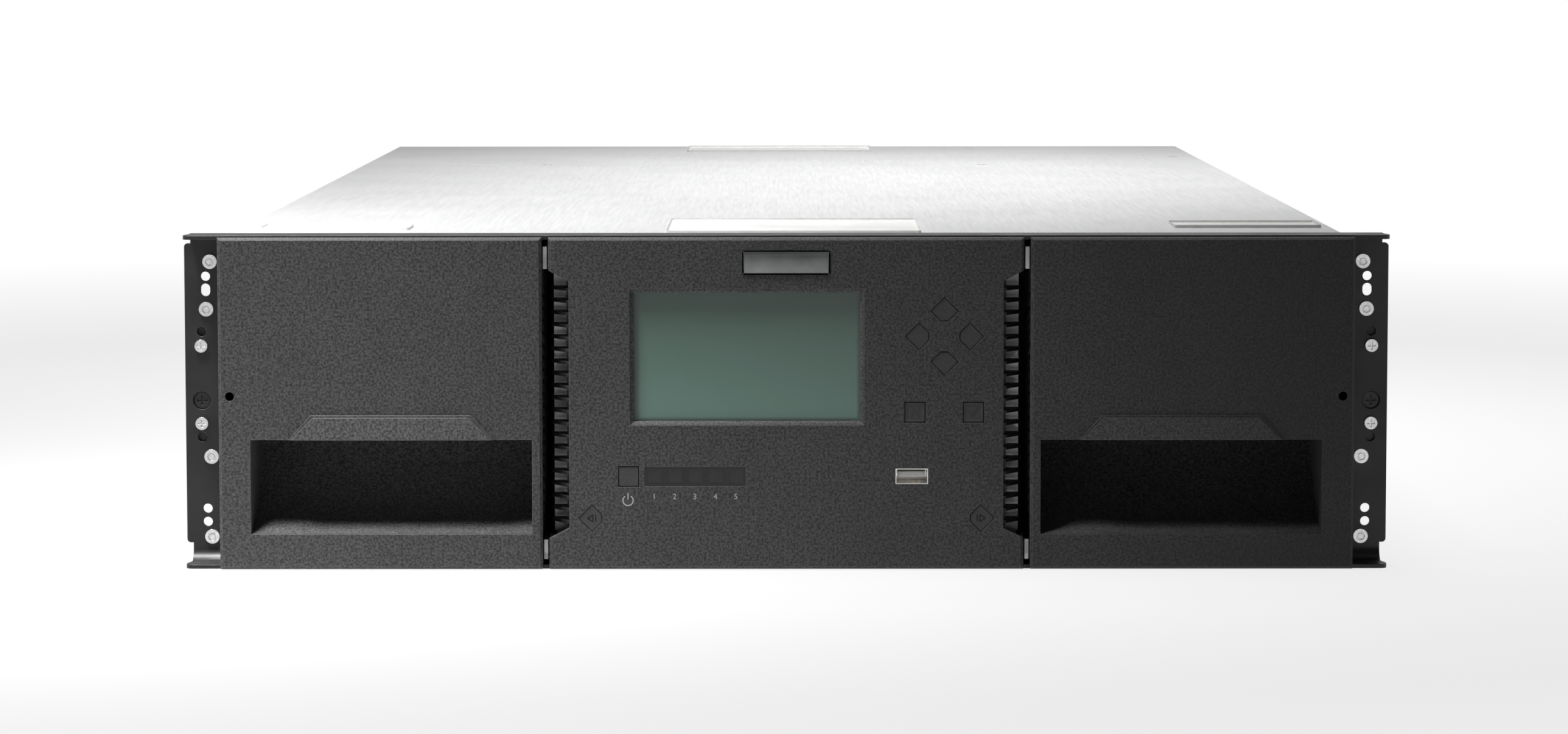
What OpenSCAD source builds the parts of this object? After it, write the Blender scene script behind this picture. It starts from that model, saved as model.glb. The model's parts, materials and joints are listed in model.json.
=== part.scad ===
// Rack-mounted data tape library, three rack units high, with two pull-out
// magazines, a cartridge robot between them and the drives behind.
// X runs to the right, Y from front to rear and Z up. The origin lies under the
// middle of the part, on the surface that it stands on.

/* [Body] */
// Width of the sheet-metal body
body_w = 446; // [440:1:448]
// Height over the lips of the front frame
height = 132; // [131:0.5:136]
// Depth from the bezel faces to the rear edge
depth = 873; // [850:1:920]
// Thickness of the body's sheet steel
sheet_t = 1.2; // [1:0.1:1.5]
// Thickness of the top covers
cover_t = 1; // [0.8:0.1:1.2]
// Distance from the bezel faces to the seam between the top covers
seam_y = 627; // [560:1:640]
// Distance from the rear panel back to the body's rear edge
rear_inset = 16; // [12:1:24]

/* [Front frame] */
// Width over the rack ears
ear_w = 478; // [474:0.5:482]
// Width of the top and bottom lips
lip_w = 475.5; // [470:0.5:478]
// Thickness of the frame's folded steel
lip_t = 1.6; // [1.2:0.1:2]
// Distance from the bezel faces to the front edge of the lips
lip_y = 5; // [4.8:0.1:8]
// Distance from the bezel faces to the front of the ears
ear_y = 21; // [20:0.5:26]
// Distance from the outer edge of an ear to its row of rack holes
rack_margin = 6.45; // [6:0.05:7]
// Inside radius of the bend between the bottom lip and the ears
bend_r = 5; // [2:0.5:6]
// Radius of the hole for the rack screw
rack_hole_r = 3.55; // [3.2:0.05:3.8]
// Radius of the small fixing holes in the ears
fixing_hole_r = 1.87; // [1.5:0.01:2.2]
// Radius of the rivet heads on the ears
rivet_r = 2.9; // [2.4:0.1:3.2]

/* [Bezels] */
// Edge chamfer of the bezels
chamfer = 1; // [0.6:0.1:1.4]
// Thickness of the bezels' moulded fronts
bezel_t = 3.5; // [2.8:0.1:4]
// Width of the operator panel in the middle
panel_w = 187; // [184:0.5:190]
// Gap between the operator panel and each magazine bezel
bezel_gap = 2.7; // [2:0.1:4]
// Width of the finger pocket in each magazine bezel
pocket_w = 110.9; // [90:0.5:112]
// Height of the finger pocket
pocket_h = 37.4; // [32:0.2:40]
// Height of the pocket's lower edge above the base
pocket_z = 14.3; // [12:0.1:18]
// Depth of the finger pocket at its top
pocket_d = 48; // [40:1:50]
// How far the grip pad stands out from the bezel
pad_proud = 1.6; // [1:0.1:2.4]

/* [Operator panel] */
// Width of the display opening
lcd_w = 92.3; // [84:0.1:94]
// Height of the display opening
lcd_h = 53.9; // [48:0.1:55]
// Side of the square buttons
button_w = 7.6; // [7:0.1:8]
// Running gap between a button and its hole
button_gap = 0.35; // [0.3:0.01:0.45]
// Travel of the buttons
button_travel = 1; // [0.6:0.1:1.2]
// Distance between neighbouring status windows
window_pitch = 8.05; // [7.6:0.05:8.2]
// Distance between neighbouring cooling louvres
louvre_pitch = 4.85; // [4.6:0.01:5.2]

/* [Magazines] */
// Length of a tape cartridge, from the aisle outwards
cartridge_l = 105.4; // [104:0.1:106]
// Width of a tape cartridge
cartridge_w = 102; // [101:0.1:102.4]
// Thickness of a tape cartridge
cartridge_t = 21.5; // [21:0.1:21.8]
// Cartridge columns in each magazine
columns = 4; // [3:1:4]
// Cartridge rows in each magazine
rows = 5; // [4:1:5]
// Thickness of the walls between the columns
divider_t = 3; // [2.6:0.1:3.4]
// Thickness of the shelves between the rows
shelf_t = 1.2; // [1:0.1:1.4]

/* [Robot] */
// Length of the picker deck, along its own reach
deck_l = 110; // [100:1:112]
// Width of the picker deck
deck_w = 116; // [114:1:118]
// Distance between the lift columns across the aisle
column_span = 168; // [166:1:169]
// Distance between the lift columns along the aisle
column_reach = 124; // [122:1:128]
// Radius of the lift columns
column_r = 4; // [3:0.1:4.2]
// Teeth on the travel pinion
pinion_teeth = 16; // [14:1:17]
// Tooth module of the rack and pinion
tooth_module = 1.1; // [1:0.01:1.15]

/* [Rear] */
// Width of a tape drive in its sled
drive_w = 150; // [146:1:154]
// Height of a tape drive in its sled
drive_h = 41; // [40:0.1:41.5]
// Depth of a tape drive in its sled
drive_d = 244; // [230:1:246]
// Width of a power supply
psu_w = 106; // [96:1:110]
// Height of a power supply
psu_h = 60; // [50:0.5:60.5]
// Depth of a power supply
psu_d = 190; // [160:1:200]
// Radius of the power supply's fan rotor
fan_r = 19; // [16:0.1:20]

/* [Hidden] */

$fn = 48;
tiny = 0.01;
mid_y = (depth - pad_proud) / 2;          // distance from the bezel faces to the part's middle
roof_z = height - lip_t - cover_t;        // underside of the top covers
deck_top = height - lip_t;                // upper face of the top covers
rear_y = depth - rear_inset;              // outer face of the rear panel
side_gap = 0.1;                           // between the covers' flanges and the side walls
wall_x = body_w / 2 - cover_t - side_gap; // outer face of the side walls
rim_w = 7;                                // width of the side walls' inward rims

// Front frame
frame_back = ear_y + lip_t;
ear_low = 8.5;
bend_y = ear_y - bend_r;                  // middle of the bend
bend_z = lip_t + bend_r;
lip_taper = 6;                            // length of the lips' full width behind the front corners
ear_high = height - 3.9;
ear_notch = 2.5;
aperture_x = 219.5;
aperture_low = 2.2;
aperture_high = roof_z - 0.4;
rack_x = ear_w / 2 - rack_margin;         // half the distance between the rack holes
rack_hole_z = 65.4;
rivet_places = [[rack_x - 3.75, 120.8], [rack_x - 2.15, 101.9], [rack_x - 3.7, 43], [rack_x - 3.65, 10.95]];
fixing_places = [[rack_x - 1.9, 114.9], [rack_x - 1.9, 22.2], [rack_x - 1.9, 16.9]];
slot_place = [rack_x - 1.9, 109.5];
bracket_screw_z = [56.25, 87.2];
sight_hole_z = [50.8, 92.95];
rivet_t = 0.8;
ear_screw_r = 2.55;
ear_screw_hole_r = 1.6;
bracket_t = 1.5;
rack_screw_in = 1.1;                      // how far the rack screws sit behind the ears' front
bracket_gap = 0.3;

// Magazine bezels, drawn for the right-hand side
bezel_in = panel_w / 2 + bezel_gap;
bezel_out = body_w / 2 + 0.5;
bezel_low = 0.4;
bezel_high = height - 0.6;
rim_t = lip_y - 0.5;                      // depth of the bezels' full-height rim
skin_t = 2;                               // wall of the bezels' bodies
skin_low = lip_t + 0.4;
skin_high = deck_top - 0.4;
body_back = ear_y - 0.4;                  // rear edge of the bezels' outer walls
inner_back = 24;                          // rear edge of the walls that face the gap
pocket_x0 = bezel_in + 4;
pocket_x1 = pocket_x0 + pocket_w;
pocket_top = pocket_z + pocket_h;
pocket_wall = 1.5;
release_x = bezel_out - 4.4;
release_z = 68.9;
release_r = 1.8;
pad_edge = 0.9;

// Operator panel
panel_x = panel_w / 2;
vent_cut = 8;
vent_low = 16.7;
vent_high = 114.4;
vent_slant = 4.7;
vent_wall = 1.6;                          // wall along each cooling cut-out
louvres = floor((vent_high - vent_low) / louvre_pitch);
lcd_x0 = -61.6;
lcd_z0 = 57.4;
lcd_bevel = 1.6;
cluster = [62.2, 92.55];                  // middle of the four arrow buttons
cluster_r = 10;
arrow_half = 5.25;                        // half-diagonal of an arrow button
arrow_cut = 3.75;                         // its cut corner's distance from the middle
cancel_at = [50.7, 62.6];
confirm_at = [73.7, 62.6];
power_at = [-62.1, 37.2];
release_button_at = [76.6, 20.65];
button_front = 0.3;
button_flange = 0.9;
button_rim = 0.6;                         // rim round the faces of the cancel and confirm buttons
button_rim_t = 0.25;
flange_t = 1;
stem_w = 3.2;
board_y = 12;
board_t = 1.6;
switch_gap = 0.3;
strip_x0 = -55.9;
strip_w = 40;
strip_z0 = 33.3;
strip_h = 7.75;
window_w = 5.45;
windows = 5;
usb_at = [49.45, 37.2];
usb_w = 12.9;
usb_h = 6.2;
usb_wall = 0.4;
carrier_y = 25;
gap_strip_w = 1.7;
strip_ends = [[3.7, 11.5], [118.8, 127.6]];
board_x = panel_x - vent_cut - vent_wall - 0.9;
board_low = 6;
board_high = 126;
stud_r = 2.5;
stud_places = [[-78, 12], [78, 12], [-78, 118], [78, 118]];

// Magazine trays
cell_gap = 1.5;
tray_in = bezel_in + 1.3;
tray_y = 70;                              // front of the first column's wall
tray_z0 = sheet_t + 2.4;
tray_z1 = roof_z - 2;
tray_plate = 1.2;
row_pitch = (tray_z1 - tray_z0 - 2 * tray_plate + shelf_t) / rows;
cell_h = row_pitch - shelf_t;
cell_z0 = tray_z0 + tray_plate;
col_pitch = cartridge_w + 2 * cell_gap + divider_t;
tray_len = columns * col_pitch + divider_t;
cell_deep = cartridge_l + 0.6;
tray_out = tray_in + cell_deep + 8;
foot_out = wall_x - sheet_t - 3;
runner_gap = 0.4;
function cell_y(c) = tray_y + divider_t + c * col_pitch;
function cell_z(r) = cell_z0 + r * row_pitch;

// Robot
home_y = cell_y(0) + cell_gap + cartridge_w / 2;
platform_t = 1.1;
platform_z = sheet_t + 0.5;
platform_gap = 3;
deck_t = 1.3;
deck_z = cell_z0 - deck_t - 0.3;
col_x = column_span / 2;
col_y = column_reach / 2;
ring_t = 1.2;
ring_half = 5;                            // half the width of the carriage's side bars
ring_out = col_x + ring_half;
ring_y = col_y + 10;
ring_bar = 6;
foot_h = 10.3;
foot_top = platform_z + foot_h;
shoe_t = 2;
lift_motor_r = 6.8;
bush_r = 6.5;
bush_h = 12;
bush_z = foot_top + 1.2;
arm_h = 8;
rod_gap = 0.3;
beam_z = roof_z - 0.6 - 3.3;
beam_t = 3.3;
column_seat = 2;                          // how far the columns reach into the bridge
rail_x0 = 91;
rail_x1 = 95;
rail_top = cell_z0 - 0.4;
rail_end = rear_y - drive_d - 6;
pitch_r = tooth_module * pinion_teeth / 2;
tooth_pitch = PI * tooth_module;
tooth_up = 0.9 * tooth_module;
tooth_down = 1.1 * tooth_module;
tooth_play = 0.4;
rack_pitch_z = rail_top - tooth_up;
pinion_z = rack_pitch_z + pitch_r;
pinion_y = home_y + col_y + 18;
motor_r = 9;
motor_l = 20;
motor_plate_t = 3;
motor_face = ring_out - ring_half - motor_plate_t;
shaft_r = 2;
arm_in = cartridge_w / 2 + 0.6;
arm_t = 2.4;
reach_tip = deck_l / 2 - 1;
turn_r = 8;

// Rear modules
drive_y = rear_y - drive_d;
drive_z0 = sheet_t + 0.4;
drive_pitch = (roof_z - sheet_t - 0.8) / 3;
cage_t = 1;
psu_x0 = 104;
psu_y = rear_y - psu_d;
psu_z0 = sheet_t;
psu_pitch = psu_h + 2.2;
fan_at = [psu_x0 + psu_w - fan_r - 9, psu_h / 2];
inlet_w = 24;
inlet_h = 16;
controller_x0 = -wall_x + sheet_t + 4;
controller_w = 126;
controller_h = 40;
controller_d = 200;
port_w = 13;
port_h = 9;

// Moves a piece drawn from the bezel faces into the part's frame.
module at_front() translate([0, -mid_y, 0]) children();

// A box between two opposite corners.
module slab(a, b) translate(a) cube(b - a);

// Mirrors a right-hand piece when side is -1.
module on_side(side) mirror([side < 0 ? 1 : 0, 0, 0]) children();

// Draws a right-hand piece on both sides.
module both_sides() {
    children();
    mirror([1, 0, 0]) children();
}

// Extrudes an outline drawn in X and Z from y0 to y1.
module front_prism(y0, y1) translate([0, y1, 0]) rotate([90, 0, 0]) linear_extrude(y1 - y0) children();

// Extrudes an outline drawn in Y and Z from x0 to x1.
module side_prism(x0, x1) translate([x0, 0, 0]) rotate([90, 0, 90]) linear_extrude(x1 - x0) children();

// A round bar along Y.
module bar_y(r, y0, y1, at) translate([at[0], y1, at[1]]) rotate([90, 0, 0]) cylinder(r = r, h = y1 - y0);

// A round bar along X.
module bar_x(r, x0, x1, at) translate([x0, at[0], at[1]]) rotate([0, 90, 0]) cylinder(r = r, h = x1 - x0);

// A rectangle in the plane of the bezel faces.
module pane(x0, x1, z0, z1) translate([x0, z0]) square([x1 - x0, z1 - z0]);

// A plate whose four front edges are chamfered.
module chamfered_plate(x0, x1, z0, z1, back, c) {
    intersection() {
        side_prism(x0, x1) polygon([[c, z0], [0, z0 + c], [0, z1 - c], [c, z1], [back, z1], [back, z0]]);
        translate([0, 0, z0]) linear_extrude(z1 - z0)
            polygon([[x0, back], [x0, c], [x0 + c, 0], [x1 - c, 0], [x1, c], [x1, back]]);
    }
}

// A square with its side pointing up, down, left or right, cut off on one corner.
module arrow_outline(turn, grow = 0) {
    h = arrow_half + grow;
    c = arrow_cut + grow;
    rotate(turn) polygon([[h, 0], [0, h], [-c, h - c], [-c, c - h], [0, -h]]);
}

// ---------- front frame ----------

module ear_outline() {
    difference() {
        union() {
            pane(aperture_x, ear_w / 2 - 1.5, ear_low, ear_high);
            pane(aperture_x, ear_w / 2, ear_low + 1.5, ear_high - 1.5);
            for (z = [ear_low + 1.5, ear_high - 1.5]) translate([ear_w / 2 - 1.5, z]) circle(r = 1.5);
            pane(aperture_x, ear_w / 2 - ear_notch, 0, deck_top);
        }
        for (p = fixing_places) translate(p) circle(r = fixing_hole_r);
        translate([slot_place[0], slot_place[1] - 0.65]) circle(r = fixing_hole_r);
        translate([slot_place[0], slot_place[1] + 0.65]) circle(r = fixing_hole_r);
        pane(slot_place[0] - fixing_hole_r, slot_place[0] + fixing_hole_r, slot_place[1] - 0.65,
            slot_place[1] + 0.65);
        for (z = sight_hole_z) translate([rack_x - 0.15, z]) circle(r = fixing_hole_r);
        for (z = bracket_screw_z) translate([rack_x, z]) circle(r = ear_screw_hole_r);
        translate([rack_x, rack_hole_z]) circle(r = rack_hole_r);
    }
}

// A lip that runs forward from the ears, with rounded front corners.
module lip(z0) {
    r = 3;
    translate([0, 0, z0]) linear_extrude(lip_t) difference() {
        union() {
            both_sides2() polygon([[-tiny, lip_y], [lip_w / 2 - r, lip_y], [lip_w / 2, lip_y + r],
                [lip_w / 2, lip_y + lip_taper], [ear_w / 2 - ear_notch, bend_y],
                    [ear_w / 2 - ear_notch, frame_back],
                [-tiny, frame_back]]);
            for (x = [-1, 1]) translate([x * (lip_w / 2 - r), lip_y + r]) circle(r = r);
        }
        for (x = [-79.5, 79.5]) translate([x - 7, lip_y + 1.6]) square([14, 0.9]);
        translate([-5, lip_y + 1.6]) square([10, 0.9]);
    }
}

// The bottom lip's bend under an ear: a quarter ring in the corner that foot_corner() clears.
module foot_corner(grow) slab([bezel_out + 1, bend_y - grow, -grow],
    [ear_w / 2 + grow, frame_back + grow, bend_z]);

module foot_bend() intersection() {
    foot_corner(0);
    difference() {
        bar_x(bend_r + lip_t, bezel_out + 1, ear_w / 2 - ear_notch, [bend_y, bend_z]);
        bar_x(bend_r, bezel_out, ear_w / 2, [bend_y, bend_z]);
    }
}

module front_frame() at_front() color("#1b1b1c") {
    difference() {
        union() {
            both_sides() front_prism(ear_y, frame_back) ear_outline();
            lip(0);
        }
        both_sides() difference() {
            foot_corner(tiny);
            slab([bezel_out, 0, -1], [ear_w / 2, bend_y, bend_z]);
        }
    }
    both_sides() foot_bend();
    lip(deck_top);
    front_prism(ear_y, frame_back) pane(-aperture_x - tiny, aperture_x + tiny, 0, aperture_low);
    front_prism(ear_y, frame_back) pane(-aperture_x - tiny, aperture_x + tiny, aperture_high, deck_top);
}

// A round head with a shank behind it.
module headed(at, y, head_r, head_t, shank_r, shank_l) {
    bar_y(head_r, y - head_t, y, at);
    bar_y(shank_r, y - tiny, y + shank_l, at);
}

module ear_rivets() at_front() color("#a9abad")
    both_sides() for (p = rivet_places) {
        difference() {
            bar_y(rivet_r, ear_y - rivet_t, ear_y, p);
            bar_y(rivet_r * 0.55, ear_y - rivet_t - 1, ear_y - 0.2, p);
        }
        bar_y(rivet_r * 0.38, ear_y - rivet_t + 0.2, ear_y, p);
    }

// A cross recess for a screw's head.
module cross_recess(at, y, r) {
    for (turn = [0, 90]) translate([at[0], y, at[1]]) rotate([0, turn, 0])
        translate([-r, -tiny, -r / 5]) cube([2 * r, 0.8, 2 * r / 5]);
}

module ear_screws() at_front() color("#c8c9ca")
    both_sides() for (z = bracket_screw_z) difference() {
        headed([rack_x, z], ear_y, ear_screw_r, 1.3, ear_screw_hole_r - 0.1,
            lip_t + bracket_gap + bracket_t + 2);
        cross_recess([rack_x, z], ear_y - 1.3, 1.5);
    }

// The bracket behind each ear, which keeps the rack screw.
module ear_brackets() at_front() color("#2a2a2b")
    both_sides() difference() {
        union() {
            slab([rack_x - 6, frame_back + bracket_gap, 47],
                [rack_x + 5, frame_back + bracket_gap + bracket_t, 97]);
            for (z = bracket_screw_z) bar_y(2.8, frame_back, frame_back + bracket_gap + tiny, [rack_x, z]);
        }
        for (z = bracket_screw_z)
            bar_y(ear_screw_hole_r, frame_back - 1, frame_back + 5, [rack_x, z]);
        bar_y(rack_hole_r - 0.6, frame_back - 1, frame_back + 5, [rack_x, rack_hole_z]);
    }

module rack_screws() at_front() color("#232324")
    both_sides() difference() {
        union() {
            bar_y(rack_hole_r - 0.25, ear_y + rack_screw_in, frame_back + bracket_gap,
                [rack_x, rack_hole_z]);
            bar_y(rack_hole_r - 0.75, frame_back, frame_back + 14, [rack_x, rack_hole_z]);
        }
        cross_recess([rack_x, rack_hole_z], ear_y + rack_screw_in, 2);
    }

// ---------- body ----------

module base_tray() at_front() color("#b9bbbd") {
    front_prism(frame_back, depth) {
        pane(-wall_x, wall_x, 0, sheet_t);
        both_sides2() {
            pane(wall_x - sheet_t, wall_x, 0, roof_z);
            pane(wall_x - rim_w, wall_x, roof_z - sheet_t, roof_z);
        }
    }
}

// Draws an outline and its mirror image.
module both_sides2() {
    children();
    mirror([1, 0]) children();
}

// A top cover: a flat sheet with a flange folded down each side.
module cover_sheet(y0, y1) {
    flange = 12;
    slab([-body_w / 2, y0, roof_z], [body_w / 2, y1, deck_top]);
    both_sides() slab([body_w / 2 - cover_t, y0, roof_z - flange], [body_w / 2, y1, roof_z + tiny]);
}

cover_screw_r = 3;
cover_screw_places = [[96 - body_w / 2, seam_y + 18], [body_w / 2 - 120, seam_y + 18],
    [96 - body_w / 2, depth - 28], [body_w / 2 - 120, depth - 28],
    [14 - body_w / 2, seam_y + 112], [body_w / 2 - 12, seam_y + 112]];

module front_cover() at_front() color("#c9cbcd") difference() {
    cover_sheet(frame_back, seam_y - 0.4);
    both_sides() slab([body_w / 2 - 7, 92.5, roof_z - tiny], [body_w / 2 + 1, 93.7, deck_top + 1]);
}

module rear_cover() at_front() color("#c2c4c6") difference() {
    union() {
        cover_sheet(seam_y, depth);
        // tongues that tuck under the front cover's edge
        both_sides() slab([body_w / 2 - 108, seam_y - 8, roof_z - cover_t],
            [body_w / 2 - 17, seam_y + 3, roof_z]);
    }
    for (p = cover_screw_places) translate([p[0], p[1], roof_z - 2])
        cylinder(r = 1.6, h = 5);
    for (p = cover_screw_places) translate([p[0], p[1], deck_top - 0.6])
        cylinder(r1 = cover_screw_r - 0.5, r2 = cover_screw_r + 0.1, h = 0.6 + tiny);
}

module cover_screws() at_front() color("#8d8f91")
    for (p = cover_screw_places) translate([p[0], p[1], 0]) {
        translate([0, 0, deck_top - 0.6]) cylinder(r1 = cover_screw_r - 0.6, r2 = cover_screw_r, h = 0.6);
        translate([0, 0, roof_z - 3.5]) cylinder(r = 1.5, h = 3.5 + cover_t - 0.5);
    }

// A hole through the rear panel.
module rear_hole(x0, x1, z0, z1) front_prism(rear_y - sheet_t - 1, rear_y + 1) pane(x0, x1, z0, z1);

module rear_panel() at_front() color("#aeb0b2") difference() {
    fit = 0.4;
    slab([-wall_x + sheet_t, rear_y - sheet_t, sheet_t], [wall_x - sheet_t, rear_y, roof_z]);
    both_sides() rear_hole(wall_x - rim_w, wall_x, roof_z - sheet_t, roof_z + 1);
    // drive bays
    rear_hole(-drive_w / 2 - fit, drive_w / 2 + fit, 0, drive_z0 + 2 * drive_pitch + drive_h + fit);
    // power supplies
    for (i = [0:1]) rear_hole(psu_x0 - fit, psu_x0 + psu_w + fit,
        psu_z0 + i * psu_pitch - 0.1, psu_z0 + i * psu_pitch + psu_h + fit);
    // controller
    rear_hole(controller_x0 - fit, controller_x0 + controller_w + fit, 0, sheet_t + controller_h + fit);
    // cooling slots above the controller
    for (i = [0:11], k = [0:3]) translate([controller_x0 + 12 + i * 9, 0,
        sheet_t + controller_h + 14 + k * 17])
        rear_hole(0, 3, 0, 12);
}

// ---------- operator panel ----------

module vent_outline() polygon([[panel_x - vent_cut, vent_low], [panel_x + 1, vent_low - vent_slant],
    [panel_x + 1, vent_high + vent_slant], [panel_x - vent_cut, vent_high]]);

module square_hole(at) translate([at[0] - button_w / 2 - button_gap, at[1] - button_w / 2 - button_gap])
    square(button_w + 2 * button_gap);

module panel_openings() {
    both_sides2() vent_outline();
    for (at = [power_at, cancel_at, confirm_at]) square_hole(at);
    for (i = [0:3]) translate(cluster) rotate(i * 90) translate([cluster_r, 0])
        arrow_outline(0, button_gap);
    translate(release_button_at) arrow_outline(0, button_gap);
    translate([-release_button_at[0], release_button_at[1]]) arrow_outline(180, button_gap);
    pane(strip_x0, strip_x0 + strip_w, strip_z0, strip_z0 + strip_h);
    translate([usb_at[0] - usb_w / 2, usb_at[1] - usb_h / 2]) square([usb_w, usb_h]);
}

module panel_bezel() at_front() color("#3c3c3d") difference() {
    union() {
        difference() {
            chamfered_plate(-panel_x, panel_x, bezel_low, bezel_high, rim_t, chamfer);
            slab([-panel_x + skin_t, bezel_t, skin_low + skin_t],
                [panel_x - skin_t, rim_t + 1, skin_high - skin_t]);
        }
        front_prism(rim_t - tiny, body_back) difference() {
            pane(-panel_x, panel_x, skin_low, skin_high);
            pane(-panel_x + skin_t, panel_x - skin_t, skin_low + skin_t, skin_high - skin_t);
        }
        // returns along the cooling cut-outs
        both_sides() front_prism(bezel_t - tiny, body_back)
            pane(panel_x - vent_cut - vent_wall, panel_x - vent_cut, vent_low - 3, vent_high + 3);
    }
    front_prism(-1, bezel_t + 1) panel_openings();
    both_sides() front_prism(-1, body_back + 1) vent_outline();
    // display opening: a bevelled frame, then straight walls
    display_opening();
}

// The display opening, widest at the face.
module display_opening() {
    x1 = lcd_x0 + lcd_w;
    z1 = lcd_z0 + lcd_h;
    intersection() {
        side_prism(lcd_x0, x1) polygon([[-tiny, lcd_z0], [lcd_bevel, lcd_z0 + lcd_bevel],
            [bezel_t + 1, lcd_z0 + lcd_bevel],
            [bezel_t + 1, z1 - lcd_bevel], [lcd_bevel, z1 - lcd_bevel], [-tiny, z1]]);
        translate([0, 0, lcd_z0]) linear_extrude(lcd_h)
            polygon([[lcd_x0, -tiny], [lcd_x0 + lcd_bevel, lcd_bevel],
            [lcd_x0 + lcd_bevel, bezel_t + 1], [x1 - lcd_bevel, bezel_t + 1],
                [x1 - lcd_bevel, lcd_bevel], [x1, -tiny]]);
    }
}

module display() at_front() color("#5f7f72") {
    slab([lcd_x0 - 2, bezel_t, lcd_z0 - 1], [lcd_x0 + lcd_w + 2, bezel_t + 1.2, lcd_z0 + lcd_h + 1]);
    slab([lcd_x0 + 1, bezel_t + 1.2 - tiny, lcd_z0 + 1], [lcd_x0 + lcd_w - 1, board_y, lcd_z0 + lcd_h - 1]);
}

module status_strip() at_front() color("#0b0b0c") difference() {
    union() {
        slab([strip_x0, 0.3, strip_z0], [strip_x0 + strip_w, bezel_t, strip_z0 + strip_h]);
        slab([strip_x0 + 2, bezel_t - tiny, strip_z0 + 1],
            [strip_x0 + strip_w - 2, board_y, strip_z0 + strip_h - 1]);
    }
    for (i = [0:windows - 1]) translate([strip_x0 + (strip_w - (windows - 1) * window_pitch - window_w) / 2 + i * window_pitch, 0, 0])
        slab([0, 0, strip_z0 + (strip_h - window_w) / 2],
            [window_w, 0.6, strip_z0 + (strip_h + window_w) / 2]);
}

module panel_board() at_front() color("#1f5a3a") {
    front_prism(board_y, board_y + board_t) difference() {
        pane(-board_x, board_x, board_low, board_high);
        for (p = stud_places) translate(p) circle(r = 1.6);
        translate([usb_at[0] - usb_w / 2 - 0.3, usb_at[1] - usb_h / 2 - 0.3])
            square([usb_w + 0.6, usb_h + 0.6]);
    }
    // switches behind the buttons
    for (at = concat([power_at, cancel_at, confirm_at, release_button_at,
        [-release_button_at[0], release_button_at[1]]],
            [for (i = [0:3]) cluster + cluster_r * [cos(i * 90), sin(i * 90)]]))
        front_prism(board_y - 1.7, board_y) translate(at - [2.5, 2.5]) square(5);
    // chips on the rear face
    slab([-40, board_y + board_t, 70], [-22, board_y + board_t + 2, 88]);
    slab([10, board_y + board_t, 30], [38, board_y + board_t + 2, 44]);
}

module panel_carrier() at_front() color("#9fa1a3") {
    difference() {
        union() {
            slab([-panel_x + 1, carrier_y, sheet_t], [panel_x - 1, carrier_y + sheet_t, roof_z]);
            slab([-panel_x + 1, carrier_y, sheet_t], [panel_x - 1, carrier_y + 12, 2 * sheet_t]);
            // strips that stand in the gaps beside the bezel
            for (z = strip_ends) both_sides() {
                slab([bezel_in - gap_strip_w - 0.3, rim_t + 1.5, z[0]],
                    [bezel_in - 0.3, carrier_y + sheet_t, z[1]]);
                slab([panel_x - 1 - tiny, carrier_y, z[0]], [bezel_in - 0.3, carrier_y + sheet_t, z[1]]);
            }
        }
        slab([-60, carrier_y - 1, 55], [60, carrier_y + 5, 105]);
        slab([-60, carrier_y - 1, 20], [60, carrier_y + 5, 45]);
    }
    for (p = stud_places) bar_y(stud_r, board_y + board_t, carrier_y + tiny, p);
    // arms that hold the bezel's body
    both_sides() for (z = [skin_low + skin_t, skin_high - skin_t - 8])
        slab([panel_x - skin_t - sheet_t, body_back - 8, z], [panel_x - skin_t, carrier_y + tiny, z + 8]);
}

module usb_socket() at_front() color("#d8d8d4") translate([usb_at[0], 0, usb_at[1]]) {
    w = usb_w / 2;
    h = usb_h / 2;
    difference() {
        slab([-w, 0.4, -h], [w, 15, h]);
        slab([-w + usb_wall, 0, -h + usb_wall], [w - usb_wall, 13, h - usb_wall]);
    }
    slab([-w + 1.1, 1.6, -0.2], [w - 1.1, 13 + tiny, h - usb_wall - 1]);
    // solder legs that hold it on the board
    for (x = [-1, 1]) slab([x * (w - 1) - 0.8, board_y - 2, -h - 1.2],
        [x * (w - 1) + 0.8, board_y, -h + tiny]);
}

// A button: its cap, the flange that keeps it behind the bezel and its stem.
module button_body() {
    flange_y = bezel_t + button_gap;
    front_prism(button_front, flange_y + tiny) children(0);
    front_prism(flange_y, flange_y + flange_t) children(1);
    front_prism(flange_y + flange_t - tiny, board_y - 1.7 - switch_gap - button_travel)
        square(stem_w, center = true);
}

module square_button(at) at_front() translate([at[0], 0, at[1]]) button_body() {
    square(button_w, center = true);
    square(button_w + 2 * button_flange, center = true);
}

// A square button whose face is let in behind a rim.
module rimmed_button(at) difference() {
    square_button(at);
    at_front() translate([at[0], 0, at[1]]) front_prism(0, button_front + button_rim_t)
        square(button_w - 2 * button_rim, center = true);
}

module arrow_button(at, turn) at_front() translate([at[0], 0, at[1]]) button_body() {
    arrow_outline(turn);
    arrow_outline(turn, button_flange);
}

module power_button() color("#4a4a4b") square_button(power_at);
module cancel_button() color("#4a4a4b") rimmed_button(cancel_at);
module confirm_button() color("#4a4a4b") rimmed_button(confirm_at);
module right_button() color("#464647") arrow_button(cluster + [cluster_r, 0], 0);
module up_button() color("#464647") arrow_button(cluster + [0, cluster_r], 90);
module left_button() color("#464647") arrow_button(cluster - [cluster_r, 0], 180);
module down_button() color("#464647") arrow_button(cluster - [0, cluster_r], 270);
module right_release_button() color("#464647") arrow_button(release_button_at, 0);
module left_release_button() color("#464647") arrow_button([-release_button_at[0], release_button_at[1]],
    180);

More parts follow.
